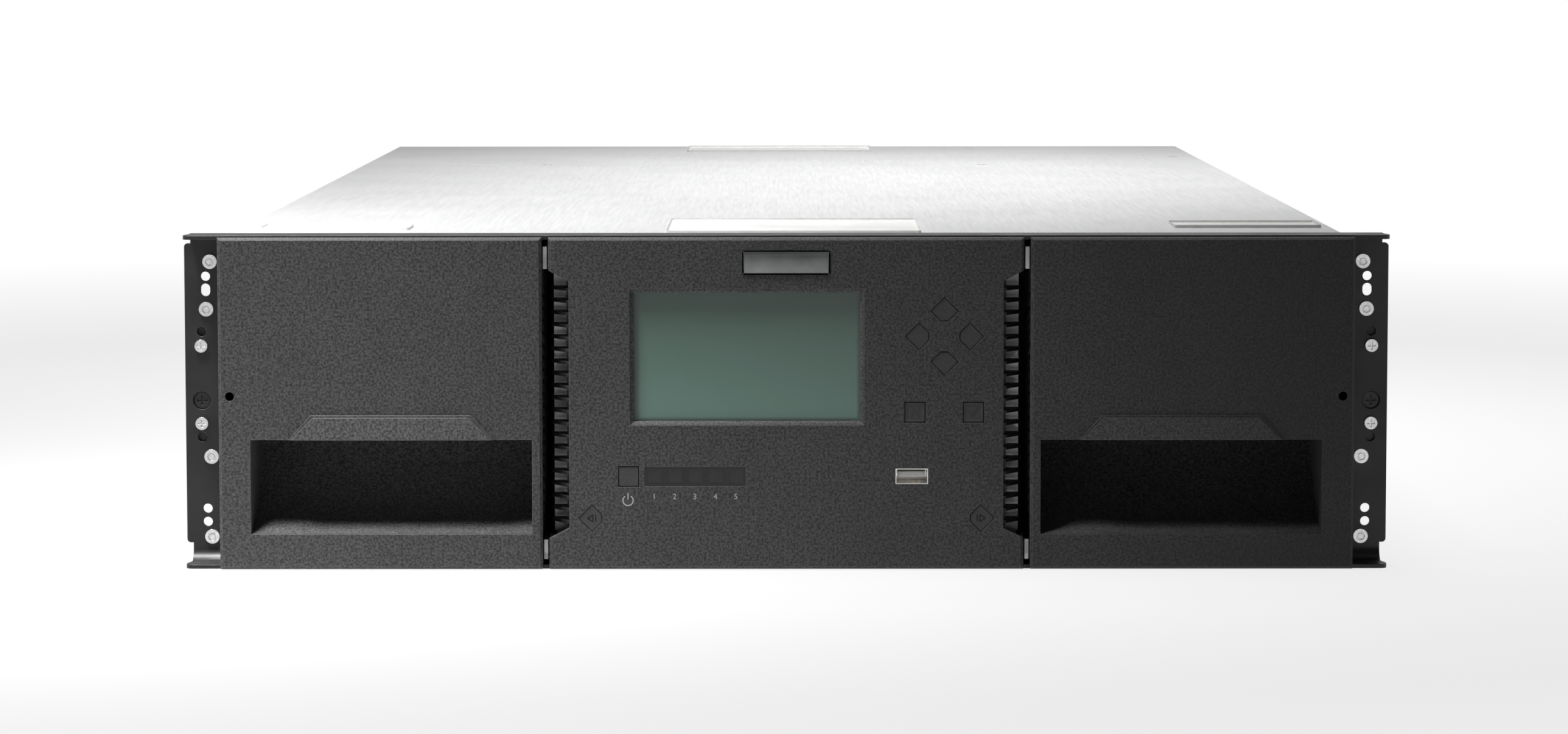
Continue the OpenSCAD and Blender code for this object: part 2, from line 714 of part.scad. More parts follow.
// Cooling louvres that stand in the cut-out beside the panel.
module louvre() at_front() color("#1c1c1d") {
    x0 = panel_x - vent_cut;
    fin_t = 1.2;
    front_prism(8, 19) pane(x0, x0 + 1.2, vent_low, vent_high);
    for (i = [0:louvres - 1]) translate([0, 0, vent_low + 1.4 + i * louvre_pitch]) linear_extrude(fin_t)
        polygon([[x0, 4.5], [x0 + 1.2, 4.5], [panel_x - 0.6, 14], [panel_x - 0.6, 19], [x0, 19]]);
}

module left_louvre() on_side(-1) louvre();
module right_louvre() on_side(1) louvre();

// ---------- magazines, drawn for the right-hand side ----------

// Centre of the arc that the pocket's back follows, through three points: the lower
// front edge, a point on the scoop and the upper back edge.
function arc_centre(p, q) =
    let (a = p * p / 2, b = q * q / 2, d = p[0] * q[1] - p[1] * q[0])
    [(a * q[1] - b * p[1]) / d, (b * p[0] - a * q[0]) / d];
scoop_mid = [0.46 * pocket_d, 0.25 * pocket_h];
scoop_c = arc_centre(scoop_mid, [pocket_d, pocket_h]);
scoop_r = norm(scoop_c);

// The finger pocket's space, grown on every side by a wall.
module pocket(wall) intersection() {
    bar_x(scoop_r + wall, pocket_x0 - wall, pocket_x1 + wall, scoop_c + [0, pocket_z], $fn = 240);
    slab([pocket_x0 - wall, -1, pocket_z - wall], [pocket_x1 + wall, pocket_d + wall, pocket_top + wall]);
}

// Grip pad above the pocket: a trapezoid in two tiers.
module pad_outline(inset) {
    lean = 8.7;
    x0 = bezel_in + 19.3 + inset;
    x1 = bezel_in + 99.8 - inset;
    polygon([[x0, pocket_top], [x0 + lean, pocket_top + 9.7 - inset],
        [x1 - lean, pocket_top + 9.7 - inset], [x1, pocket_top]]);
}

module magazine_bezel() at_front() color("#3a3a3b") difference() {
    union() {
        difference() {
            chamfered_plate(bezel_in, bezel_out, bezel_low, bezel_high, rim_t, chamfer);
            slab([bezel_in + skin_t, bezel_t, skin_low + skin_t],
                [bezel_out - skin_t, rim_t + 1, skin_high - skin_t]);
        }
        front_prism(rim_t - tiny, body_back) difference() {
            pane(bezel_in, bezel_out, skin_low, skin_high);
            pane(bezel_in + skin_t, bezel_out - skin_t, skin_low + skin_t, skin_high - skin_t);
        }
        slab([bezel_in, body_back - tiny, aperture_low + 1],
            [bezel_in + skin_t, inner_back, aperture_high - 1]);
        intersection() {
            pocket(pocket_wall);
            slab([bezel_in, bezel_t - 1, skin_low], [bezel_out, pocket_d + 5, skin_high]);
        }
        front_prism(-pad_proud / 2, tiny) pad_outline(0);
        front_prism(-pad_proud, 0) pad_outline(pad_edge);
    }
    pocket(0);
    bar_y(release_r, -1, bezel_t + 1, [release_x, release_z]);
    // cooling slots in the wall that faces the operator panel
    for (i = [0:louvres - 2]) slab([bezel_in - 1, 7, vent_low + 3 + i * louvre_pitch],
        [bezel_in + skin_t + 1, inner_back - 2.5, vent_low + 5.1 + i * louvre_pitch]);
}

module magazine_tray() at_front() color("#2e2f31") {
    difference() {
        union() {
            slab([tray_in, tray_y, tray_z0], [tray_out, tray_y + tray_len, tray_z1]);
            // runner foot along the outer edge
            slab([tray_out - tiny, tray_y, tray_z0], [foot_out, tray_y + tray_len, tray_z0 + 3]);
            slab([foot_out - 2, tray_y, tray_z0], [foot_out, tray_y + tray_len, tray_z0 + 9]);
        }
        for (c = [0:columns - 1], r = [0:rows - 1]) {
            slab([tray_in - 1, cell_y(c), cell_z(r)],
                [tray_in + cell_deep, cell_y(c) + cartridge_w + 2 * cell_gap, cell_z(r) + cell_h]);
            slab([tray_in + cell_deep - 1, cell_y(c) + 18, cell_z(r) + 4],
                [tray_out + 1, cell_y(c) + cartridge_w - 15, cell_z(r) + cell_h - 4]);
        }
    }
    // cheeks and a cross plate that carry the bezel
    slab([tray_in, tray_y - 3, tray_z0], [tray_out, tray_y + tiny, tray_z1]);
    for (z = [skin_low + skin_t, skin_high - skin_t - 10])
        slab([bezel_in + skin_t, body_back - 10, max(z, tray_z0)],
            [bezel_in + skin_t + 2.5, tray_y - 3 + tiny, max(z, tray_z0) + min(10, tray_z1 - z)]);
    slab([aperture_x - 8, body_back - 10, skin_high - skin_t - 40],
        [aperture_x - 5, tray_y - 3 + tiny, tray_z1 - 4]);
    slab([tray_out - 5, tray_y - 3, skin_high - skin_t - 40], [aperture_x - 5, tray_y, tray_z1 - 4]);
    slab([aperture_x - 8, body_back - 10, skin_high - skin_t - 40],
        [bezel_out - skin_t, body_back - 2, skin_high - skin_t - 20]);
}

// A tape cartridge, with its label recess, grip notches and leader door.
module cartridge(at) translate(at) difference() {
    cube([cartridge_l, cartridge_w, cartridge_t]);
    translate([-1, 8, 3]) cube([1.4, cartridge_w - 20, cartridge_t - 6]);
    for (y = [-1, cartridge_w - 2.5]) translate([6, y, 4]) cube([7, 3.5, cartridge_t - 8]);
    translate([cartridge_l - 20, -1, cartridge_t / 2 - 6]) cube([14, 1.5, 12]);
}

module magazine_cartridges() at_front() color("#3b3f46")
    for (c = [0:columns - 1], r = [0:rows - 1]) cartridge([tray_in + 0.3, cell_y(c) + cell_gap, cell_z(r)]);

// The channel on the floor that guides a magazine's foot.
module magazine_runner() at_front() color("#d0d0cc") {
    y0 = frame_back + 6;
    y1 = tray_y + tray_len + 6;
    slab([tray_out + 1, y0, sheet_t], [foot_out + 2.2, y1, tray_z0 - runner_gap]);
    slab([foot_out + runner_gap, y0, sheet_t], [foot_out + 2.2, y1, tray_z0 + 11]);
    slab([foot_out - 1.4, y0, tray_z0 + 9 + runner_gap], [foot_out + 2.2, y1, tray_z0 + 11]);
    slab([tray_in + 2, y1 - 3, sheet_t], [foot_out + 2.2, y1, tray_z0 + 12]);
    slab([tray_in + 2, y0, sheet_t], [tray_in + 12, y1, tray_z0 - runner_gap]);
}

module left_bezel() on_side(-1) magazine_bezel();
module right_bezel() on_side(1) magazine_bezel();
module left_tray() on_side(-1) magazine_tray();
module right_tray() on_side(1) magazine_tray();
module left_cartridges() on_side(-1) magazine_cartridges();
module right_cartridges() on_side(1) magazine_cartridges();
module left_runner() on_side(-1) magazine_runner();
module right_runner() on_side(1) magazine_runner();

// Solenoids that lock the magazines, drawn back.
module magazine_locks() at_front() color("#77797b") both_sides() {
    y = tray_y + tray_len + 14;
    slab([tray_out - 14, y, sheet_t], [tray_out + 4, y + 24, 17]);
    bar_y(2, y - 5, y + tiny, [tray_out - 5, 10]);
    slab([tray_out - 18, y + 24 - tiny, sheet_t], [tray_out + 8, y + 25.5, 20]);
}

// ---------- robot, drawn at its home place at the first column ----------

module at_robot() at_front() translate([0, home_y, 0]) children();

module robot_rails() at_front() color("#c4c6c8") {
    y0 = carrier_y + 13;
    slab([-rail_x1, y0, sheet_t], [-rail_x0, rail_end, rail_top]);
    slab([rail_x1 - 1, y0, sheet_t], [rail_x1, rail_end, rail_top]);
    // rear stop
    slab([-rail_x1, rail_end - 4, sheet_t], [-ring_out + 8, rail_end, rail_top + 3]);
}

// Points of one tooth: distance along the pitch line, and height over it.
function tooth() =
    let (flank = tan(20), half = tooth_pitch / 4 - tooth_play / 2)
    [[-half - tooth_down * flank, -tooth_down], [-half + tooth_up * flank, tooth_up],
        [half - tooth_up * flank, tooth_up], [half + tooth_down * flank, -tooth_down]];

rack_y0 = pinion_y - 4.5 * tooth_pitch;
rack_teeth = floor((rail_end - 5 - rack_y0) / tooth_pitch);
rack_len = rack_teeth * tooth_pitch;

module travel_rack() at_front() color("#8f9193") side_prism(rail_x0, rail_x1 - 1)
    polygon(concat([[rack_y0 + rack_len, sheet_t], [rack_y0, sheet_t]],
        [for (i = [0:rack_teeth - 1], p = tooth()) [rack_y0 + (i + 0.5) * tooth_pitch + p[0],
            rack_pitch_z + p[1]]]));

// The pinion: a gap between two teeth meets a rack tooth straight below its axle.
module travel_pinion() at_front() color("#d6c9a0") {
    side_prism(rail_x0 + 0.3, rail_x1 - 1.3) translate([pinion_y, pinion_z])
        polygon([for (i = [0:pinion_teeth - 1], p = tooth())
            let (turn = (i + 0.5) * 360 / pinion_teeth - 90 + p[0] / pitch_r * 180 / PI)
            (pitch_r + p[1]) * [cos(turn), sin(turn)]]);
    bar_x(shaft_r, motor_face + 0.3, rail_x0 + 1, [pinion_y, pinion_z]);
}

// A corner of the carriage, with x and y each -1 or 1.
corners = [for (x = [-1, 1], y = [-1, 1]) [x, y]];
screw_corner = [-1, 1];
module at_corner(c, z) translate([c[0] * col_x, c[1] * col_y, z]) children();

module robot_carriage() at_robot() color("#a4a6a8") difference() {
    foot_w = 10;
    plate_x = ring_out - ring_half;
    union() {
        // a ring that runs just above the floor
        difference() {
            slab([-ring_out, -ring_y, platform_z], [ring_out, ring_y, platform_z + ring_t]);
            slab([-col_x + ring_half, -ring_y + ring_bar, platform_z - 1],
                [col_x - ring_half, ring_y - ring_bar, platform_z + ring_t + 1]);
        }
        // feet below the columns, with shoes on the rails
        for (c = corners) at_corner(c, platform_z) {
            top = c == screw_corner ? rail_top + 0.3 + shoe_t - platform_z : foot_h;
            translate([-ring_half, -foot_w / 2, 0]) cube([2 * ring_half, foot_w, top]);
        }
        for (c = corners) at_corner(c, rail_top + 0.3)
            mirror([c[0] < 0 ? 1 : 0, 0, 0]) translate([0, -foot_w / 2, 0])
                cube([rail_x1 - col_x, foot_w, shoe_t]);
        // plate for the travel motor
        slab([motor_face, col_y + bush_r + 0.5, platform_z],
            [plate_x, pinion_y - home_y + motor_r + 1.5, pinion_z + motor_r + 1.5]);
    }
    bar_x(shaft_r + 0.3, motor_face - 1, ring_out + 1, [pinion_y - home_y, pinion_z]);
    for (c = corners) if (c != screw_corner) at_corner(c, foot_top - 4) cylinder(r = column_r, h = 5);
}

module carriage_bridge() at_robot() color("#a4a6a8") difference() {
    bar = 6;
    slab([-ring_out, -col_y - bar, beam_z], [ring_out, col_y + bar, beam_z + beam_t]);
    slab([-col_x + ring_half, -col_y + bar, beam_z - 1],
        [col_x - ring_half, col_y - bar, beam_z + beam_t + 1]);
    for (c = corners) at_corner(c, beam_z - 1) cylinder(r = column_r, h = 1 + column_seat);
}

module lift_columns() at_robot() color("#dcdee0")
    for (c = corners) if (c != screw_corner)
        at_corner(c, foot_top - 4) cylinder(r = column_r, h = beam_z + column_seat - foot_top + 4);

module lift_motor() at_robot() color("#333436")
    at_corner(screw_corner, rail_top + 0.3 + shoe_t)
        cylinder(r = lift_motor_r, h = foot_top - rail_top - 0.3 - shoe_t);

// The screw's upper end is slotted for a key.
module lift_screw() at_robot() color("#b3b5b7") at_corner(screw_corner, 0) {
    top = beam_z + column_seat - 0.4;
    difference() {
        translate([0, 0, foot_top + 0.3]) cylinder(r = column_r - rod_gap, h = top - foot_top - 0.3);
        translate([-0.5, -column_r, top - 1]) cube([1, 2 * column_r, 2]);
    }
}

module travel_motor() at_front() color("#333436")
    bar_x(motor_r, motor_face - motor_l, motor_face, [pinion_y, pinion_z]);

module lift_platform() at_robot() color("#8b9a8f") {
    px = col_x - ring_half - platform_gap;
    py = ring_y - ring_bar - platform_gap;
    post = 4;
    difference() {
        union() {
            slab([-px, -py, platform_z], [px, py, platform_z + platform_t]);
            for (c = corners) {
                // post beside the column, and the arm from it to the bush
                translate([c[0] * (px - post / 2), c[1] * col_y, 0])
                    slab([-post / 2, -post / 2, platform_z], [post / 2, post / 2, bush_z + bush_h]);
                at_corner(c, bush_z) mirror([c[0] < 0 ? 1 : 0, 0, 0])
                    translate([px - post - col_x, -post / 2, 0]) cube([col_x - px + post, post, bush_h]);
                at_corner(c, bush_z) cylinder(r = bush_r, h = bush_h);
            }
        }
        for (c = corners) at_corner(c, bush_z - 1)
            cylinder(r = column_r + (c == screw_corner ? 0 : rod_gap), h = bush_h + 2);
        translate([0, 0, platform_z - 1]) cylinder(r = turn_r + rod_gap, h = 5);
    }
}

module picker_deck() at_robot() color("#50545a") {
    cut = 14;
    x = deck_w / 2;
    y = deck_l / 2;
    wall = 1.6;
    translate([0, 0, deck_z]) linear_extrude(deck_t)
        polygon([[x, y - cut], [x - cut, y], [cut - x, y], [-x, y - cut], [-x, cut - y], [cut - x, -y],
            [x - cut, -y], [x, cut - y]]);
    translate([0, 0, platform_z + 0.1]) cylinder(r = turn_r, h = deck_z - platform_z);
    for (s = [-1, 1]) translate([s * (x - wall / 2) - wall / 2, cut - y, deck_z + deck_t - tiny])
        cube([wall, 2 * (y - cut), 14]);
    slab([-30, -y + 0.5, deck_z + deck_t - tiny], [30, -y + 2, deck_z + deck_t + 16]);
}

// The gripper: two arms beside the cartridge, joined by a bridge behind it.
module gripper() at_robot() color("#b0623a") {
    z0 = deck_z + deck_t + 0.2;
    back = -deck_l / 2 + 5;
    for (s = [-1, 1]) mirror([s < 0 ? 1 : 0, 0, 0]) translate([0, 0, z0]) linear_extrude(arm_h)
        polygon([[arm_in, back], [arm_in + arm_t, back], [arm_in + arm_t, reach_tip - 13],
            [arm_in - 4, reach_tip],
            [arm_in - 5.5, reach_tip], [arm_in - 5.5, reach_tip - 3], [arm_in - 4, reach_tip - 5],
                [arm_in, reach_tip - 12]]);
    slab([-arm_in - tiny, back, z0], [arm_in + tiny, back + 7, z0 + 15]);
}

module barcode_reader() at_robot() color("#7a1f1f") {
    z0 = deck_z + deck_t;
    slab([deck_w / 2, 18, z0], [deck_w / 2 + 8, 38, z0 + 12]);
}

// ---------- rear modules ----------

module drive_cage() at_front() color("#aaacae") {
    both_sides() slab([drive_w / 2 + 0.4, drive_y, sheet_t],
        [drive_w / 2 + 0.4 + cage_t, rear_y - sheet_t, roof_z]);
    for (i = [1:2]) both_sides() slab([drive_w / 2 - 5, drive_y, drive_z0 + i * drive_pitch - 1.2],
        [drive_w / 2 + 0.4 + tiny, rear_y - sheet_t, drive_z0 + i * drive_pitch - 0.4]);
}

mouth_w = cartridge_l + 1;
mouth_h = cartridge_t + 2;

// A half-height tape drive in its sled, with the cartridge mouth to the front.
module tape_drive(level) at_front() color("#5a5d61") translate([0, 0, drive_z0 + level * drive_pitch]) {
    x = drive_w / 2;
    handle_y = depth - 1;
    difference() {
        slab([-x, drive_y, -0.4], [x, rear_y + 1.2, drive_h]);
        slab([-mouth_w / 2, drive_y - 1, 8], [mouth_w / 2, drive_y + 30, 8 + mouth_h]);
        // data and power connectors
        slab([-60, rear_y - 10, 12], [-36, rear_y + 3, 20]);
        slab([-60, rear_y - 10, 24], [-36, rear_y + 3, 32]);
        for (i = [0:7]) slab([2 + i * 6, rear_y - 6, 10], [5 + i * 6, rear_y + 3, 34]);
    }
    // pull handle
    difference() {
        slab([56, rear_y + 1.2 - tiny, 6], [68, handle_y, 35]);
        slab([55, rear_y + 1.3, 10], [69, handle_y - 3, 31]);
    }
}

module lower_drive() tape_drive(0);
module upper_drive() tape_drive(1);

module bay_blank() at_front() color("#a6a8aa") translate([0, 0, drive_z0 + 2 * drive_pitch]) {
    slab([-drive_w / 2, rear_y - 12, -0.4], [drive_w / 2, rear_y - 10.8, drive_h]);
    both_sides() slab([drive_w / 2 - 1.2, rear_y - 12, -0.4], [drive_w / 2, rear_y, drive_h]);
    both_sides() slab([drive_w / 2 - 8, rear_y, 2], [drive_w / 2 + 6, rear_y + 1.2, drive_h - 2]);
}

// A power supply with its fan behind a guard and its inlet beside it.
module power_supply(level) at_front() color("#9a9c9e") translate([psu_x0, 0, psu_z0 + level * psu_pitch]) {
    inlet_at = [12, psu_h / 2 - inlet_h / 2];
    difference() {
        slab([0, psu_y, 0], [psu_w, rear_y + 1.2, psu_h]);
        bar_y(fan_r + 1, rear_y - 16, rear_y + 2, fan_at - [psu_x0, 0]);
        slab([inlet_at[0], rear_y - 14, inlet_at[1]],
            [inlet_at[0] + inlet_w, rear_y + 2, inlet_at[1] + inlet_h]);
    }
    for (x = [5, inlet_w / 2, inlet_w - 5]) slab([inlet_at[0] + x - 1, rear_y - 14 - tiny,
        inlet_at[1] + 6 - (x == inlet_w / 2 ? -3 : 0)],
        [inlet_at[0] + x + 1, rear_y - 5, inlet_at[1] + 8 + (x == inlet_w / 2 ? 3 : 0)]);
    // guard over the fan: a hub and rings on four spokes
    front_prism(rear_y + 0.2, rear_y + 1.2) translate(fan_at - [psu_x0, 0]) {
        circle(r = 5);
        for (r = [9, 14]) difference() {
            circle(r = r + 0.8);
            circle(r = r - 0.8);
        }
        for (turn = [0, 90]) rotate(turn + 45) square([2 * fan_r + 3, 1.6], center = true);
    }
    // axle for the rotor
    bar_y(1.5, rear_y - 16 - tiny, rear_y - 4, fan_at - [psu_x0, 0]);
    // pull handle between the inlet and the fan
    difference() {
        slab([42, rear_y + 1.2 - tiny, 10], [48, depth - 1, psu_h - 10]);
        slab([41, rear_y + 1.3, 14], [49, depth - 4, psu_h - 14]);
    }
}

module lower_supply() power_supply(0);
module upper_supply() power_supply(1);

module supply_shelf() at_front() color("#aaacae") {
    z = psu_z0 + psu_pitch;
    slab([psu_x0 - 1.6, psu_y, z - 1.2], [wall_x - sheet_t, rear_y - sheet_t, z]);
    slab([psu_x0 - 1.6, psu_y, sheet_t], [psu_x0 - 0.6, rear_y - sheet_t, z - 1.2 + tiny]);
}

// A fan rotor: a hub with swept blades around it.
module fan_rotor(level) at_front() color("#161617") {
    at = [fan_at[0], psu_z0 + level * psu_pitch + fan_at[1]];
    blades = 7;
    hub_r = 8;
    front_prism(rear_y - 12, rear_y - 3) translate(at) difference() {
        union() {
            circle(r = hub_r);
            for (i = [0:blades - 1]) rotate(i * 360 / blades)
                polygon([[hub_r - 1, -1.2], [fan_r - 0.4, 3], [fan_r - 0.9, 6], [hub_r - 1, 2]]);
        }
        circle(r = 1.8);
    }
}

module lower_fan() fan_rotor(0);
module upper_fan() fan_rotor(1);

// Controller module: a tray with its network and service ports.
module controller() at_front() color("#9a9c9e") translate([controller_x0, 0, sheet_t]) difference() {
    slab([0, rear_y - controller_d, 0], [controller_w, rear_y + 1.2, controller_h]);
    for (i = [0:1]) slab([20 + i * 20, rear_y - 12, 12], [20 + i * 20 + port_w, rear_y + 2, 12 + port_h]);
    slab([64, rear_y - 12, 12], [64 + 13, rear_y + 2, 12 + 6]);
    for (i = [0:9]) slab([14 + i * 10, rear_y - 6, 28], [20 + i * 10, rear_y + 2, 31]);
    slab([6, rear_y - controller_d + 4, 4], [controller_w - 6, rear_y - 20, controller_h + 1]);
}

front_frame();
ear_rivets();
ear_screws();
rack_screws();
ear_brackets();
base_tray();
front_cover();
rear_cover();
cover_screws();
rear_panel();
panel_bezel();
display();
status_strip();
panel_board();
panel_carrier();
usb_socket();
power_button();
cancel_button();
confirm_button();
up_button();
down_button();
left_button();
right_button();
left_release_button();
right_release_button();
left_louvre();
right_louvre();
left_bezel();
right_bezel();
left_tray();
right_tray();
left_cartridges();
right_cartridges();
left_runner();
right_runner();
magazine_locks();
robot_rails();
travel_rack();
robot_carriage();
carriage_bridge();
lift_columns();
travel_motor();
travel_pinion();
lift_motor();
lift_screw();
lift_platform();
picker_deck();
barcode_reader();
gripper();
drive_cage();
lower_drive();
upper_drive();
bay_blank();
supply_shelf();
lower_supply();
upper_supply();
lower_fan();
upper_fan();
controller();
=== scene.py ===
import json
import math

import bpy
from mathutils import Euler, Matrix, Vector


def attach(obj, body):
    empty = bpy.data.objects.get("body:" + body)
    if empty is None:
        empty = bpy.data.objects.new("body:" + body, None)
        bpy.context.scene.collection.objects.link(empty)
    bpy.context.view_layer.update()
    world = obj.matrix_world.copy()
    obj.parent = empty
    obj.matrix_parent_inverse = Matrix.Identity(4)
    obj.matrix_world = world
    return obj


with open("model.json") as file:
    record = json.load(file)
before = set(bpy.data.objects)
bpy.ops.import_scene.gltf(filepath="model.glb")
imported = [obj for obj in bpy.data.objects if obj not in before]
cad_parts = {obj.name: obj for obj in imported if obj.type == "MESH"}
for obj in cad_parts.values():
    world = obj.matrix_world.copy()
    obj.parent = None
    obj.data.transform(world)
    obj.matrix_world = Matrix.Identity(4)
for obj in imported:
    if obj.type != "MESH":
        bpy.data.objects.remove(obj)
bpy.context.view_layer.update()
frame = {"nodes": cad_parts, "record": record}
print("tape library frame loaded")

mm = 0.001
faceDepth = -0.4357    # world y of the bezel faces; depths below are measured back from them


def spot(x, y, z):
    return Vector((x * mm, y * mm + faceDepth, z * mm))


# finishes

# every finish starts here: a named material, its shader and the object coordinates
def newFinish(name, metallic, roughness, specular=0.5):
    finish = bpy.data.materials.new(name)
    finish.use_nodes = True
    tree = finish.node_tree
    shader = tree.nodes["Principled BSDF"]
    shader.inputs["Metallic"].default_value = metallic
    shader.inputs["Roughness"].default_value = roughness
    shader.inputs["Specular IOR Level"].default_value = specular
    place = tree.nodes.new("ShaderNodeTexCoord").outputs["Object"]
    return finish, tree, shader, place


def grain(tree, place, scale, detail=3.0, stretch=(1, 1, 1)):
    mapping = tree.nodes.new("ShaderNodeMapping")
    mapping.inputs["Scale"].default_value = stretch
    tree.links.new(place, mapping.inputs["Vector"])
    noise = tree.nodes.new("ShaderNodeTexNoise")
    noise.inputs["Scale"].default_value = scale
    noise.inputs["Detail"].default_value = detail
    tree.links.new(mapping.outputs["Vector"], noise.inputs["Vector"])
    return noise.outputs["Fac"]


def tones(tree, factor, stops):
    ramp = tree.nodes.new("ShaderNodeValToRGB")
    ramp.color_ramp.elements[0].position = stops[0][0]
    ramp.color_ramp.elements[1].position = stops[-1][0]
    for at, _ in stops[1:-1]:
        ramp.color_ramp.elements.new(at)
    for element, (_, colour) in zip(ramp.color_ramp.elements, stops):
        element.color = (*colour, 1)
    tree.links.new(factor, ramp.inputs["Fac"])
    return ramp.outputs["Color"]


def between(tree, factor, lowIn, highIn, lowOut, highOut):
    span = tree.nodes.new("ShaderNodeMapRange")
    ends = {"From Min": lowIn, "From Max": highIn, "To Min": lowOut, "To Max": highOut}
    for socket, number in ends.items():
        span.inputs[socket].default_value = number
    tree.links.new(factor, span.inputs["Value"])
    return span.outputs["Result"]


def sums(tree, kind, first, second):
    node = tree.nodes.new("ShaderNodeMath")
    node.operation = kind
    for socket, value in zip(node.inputs, (first, second)):
        if isinstance(value, (int, float)):
            socket.default_value = value
        else:
            tree.links.new(value, socket)
    return node.outputs["Value"]


def blendTones(tree, kind, factor, first, second):
    mix = tree.nodes.new("ShaderNodeMix")
    mix.data_type = "RGBA"
    mix.blend_type = kind
    for number, value in ((0, factor), (6, first), (7, second)):
        if isinstance(value, (int, float)):
            mix.inputs[number].default_value = value
        elif isinstance(value, tuple):
            mix.inputs[number].default_value = (*value, 1)
        else:
            tree.links.new(value, mix.inputs[number])
    return mix.outputs[2]


# soft edge: the shading normal is rounded, and the share of turn shows where an edge is
def softEdge(tree, radius):
    rounded = tree.nodes.new("ShaderNodeBevel")
    rounded.samples = 4
    rounded.inputs["Radius"].default_value = radius * mm
    geometry = tree.nodes.new("ShaderNodeNewGeometry")
    turn = tree.nodes.new("ShaderNodeVectorMath")
    turn.operation = "DOT_PRODUCT"
    tree.links.new(rounded.outputs["Normal"], turn.inputs[0])
    tree.links.new(geometry.outputs["Normal"], turn.inputs[1])
    return rounded.outputs["Normal"], between(tree, turn.outputs["Value"], 0.99, 0.8, 0, 1)


def relief(tree, shader, height, depth, strength=1.0, normal=None):
    bump = tree.nodes.new("ShaderNodeBump")
    bump.inputs["Strength"].default_value = strength
    bump.inputs["Distance"].default_value = depth * mm
    tree.links.new(height, bump.inputs["Height"])
    if normal is not None:
        tree.links.new(normal, bump.inputs["Normal"])
    tree.links.new(bump.outputs["Normal"], shader.inputs["Normal"])


# the body takes the second tone where the mask reaches: on most finishes a painted highlight along the
# edges, on powder coat also patchy wear, on the display painted shadow along with its own border
def paintBody(tree, shader, body, edge, share, edgeHighlightShadeAndWear):
    mixed = blendTones(tree, "MIX", sums(tree, "MULTIPLY", edge, share), body, edgeHighlightShadeAndWear)
    tree.links.new(mixed, shader.inputs["Base Color"])


def varyGloss(tree, shader, factor, roughness):
    tree.links.new(between(tree, factor, 0.3, 0.7, *roughness), shader.inputs["Roughness"])


def brighter(colour, share):
    return tuple(min(1, tone * share) for tone in colour)


bezelLook = {
    "dark": (0.021, 0.021, 0.022),
    "light": (0.080, 0.080, 0.081),
    # the edge tone is a painted highlight along the edges
    "edge": (0.26, 0.26, 0.262),
    "finger": 1.5,            # how much lighter the coarse grain is
    "speckSize": 0.9,         # mm
    "speckDepth": 0.05,
    "coarseSize": 1.3,        # on the grip pads and in the finger pockets
    "coarseDepth": 0.16,
    "roughness": (0.5, 0.68),
}


# fine mottled moulding on the faces, coarser grain where a finger goes, and edges painted lighter as a
# painted highlight
def mouldedBezel(name, look):
    finish, tree, shader, place = newFinish(name, 0, 0.6, 0.35)
    fine = grain(tree, place, 1000 / look["speckSize"], 2)
    coarse = grain(tree, place, 1000 / look["coarseSize"], 1)
    broad = grain(tree, place, 45, 2)
    split = tree.nodes.new("ShaderNodeSeparateXYZ")
    tree.links.new(place, split.inputs["Vector"])
    offFace = sums(tree, "ABSOLUTE", sums(tree, "SUBTRACT", split.outputs["Y"], faceDepth), 0)
    fingerArea = between(tree, offFace, 0.0004, 0.0012, 0, 1)
    speck = tones(tree, fine, [(0.36, look["dark"]), (0.64, look["light"])])
    drift = tones(tree, broad, [(0.3, (0.94, 0.94, 0.94)), (0.7, (1.05, 1.05, 1.05))])
    body = blendTones(tree, "MULTIPLY", 1.0, speck, drift)
    lifted = blendTones(tree, "MULTIPLY", 1.0, body, (look["finger"],) * 3)
    body = blendTones(tree, "MIX", fingerArea, body, lifted)
    rounded, edge = softEdge(tree, 0.5)
    # edges take a lighter tone: a painted highlight
    paintBody(tree, shader, body, edge, 0.5, look["edge"])
    varyGloss(tree, shader, fine, look["roughness"])
    coarseArea = sums(tree, "MULTIPLY", coarse, fingerArea)
    coarseLift = sums(tree, "MULTIPLY", coarseArea, look["coarseDepth"] / look["speckDepth"])
    relief(tree, shader, sums(tree, "ADD", fine, coarseLift), look["speckDepth"], 0.8, rounded)
    return finish


# the edge tone is a painted highlight along the button's edges
buttonLook = {"dark": (0.040, 0.040, 0.042), "light": (0.056, 0.056, 0.058), "edge": (0.16, 0.16, 0.165)}


def mouldedButton(name, look):
    finish, tree, shader, place = newFinish(name, 0, 0.5, 0.4)
    fine = grain(tree, place, 1600, 2)
    rounded, edge = softEdge(tree, 0.35)
    body = tones(tree, fine, [(0.35, look["dark"]), (0.65, look["light"])])
    # edges take a lighter tone: a painted highlight
    paintBody(tree, shader, body, edge, 0.6, look["edge"])
    varyGloss(tree, shader, fine, (0.42, 0.56))
    relief(tree, shader, fine, 0.02, 0.6, rounded)
    return finish


blackSteelLook = {
    "dark": (0.006, 0.006, 0.0065),
    "light": (0.017, 0.017, 0.018),
    # the edge tone is patchy rubbed wear together with a painted highlight
    "edgeWearAndSheen": (0.16, 0.16, 0.165),
    "peel": 1.4,              # mm
}


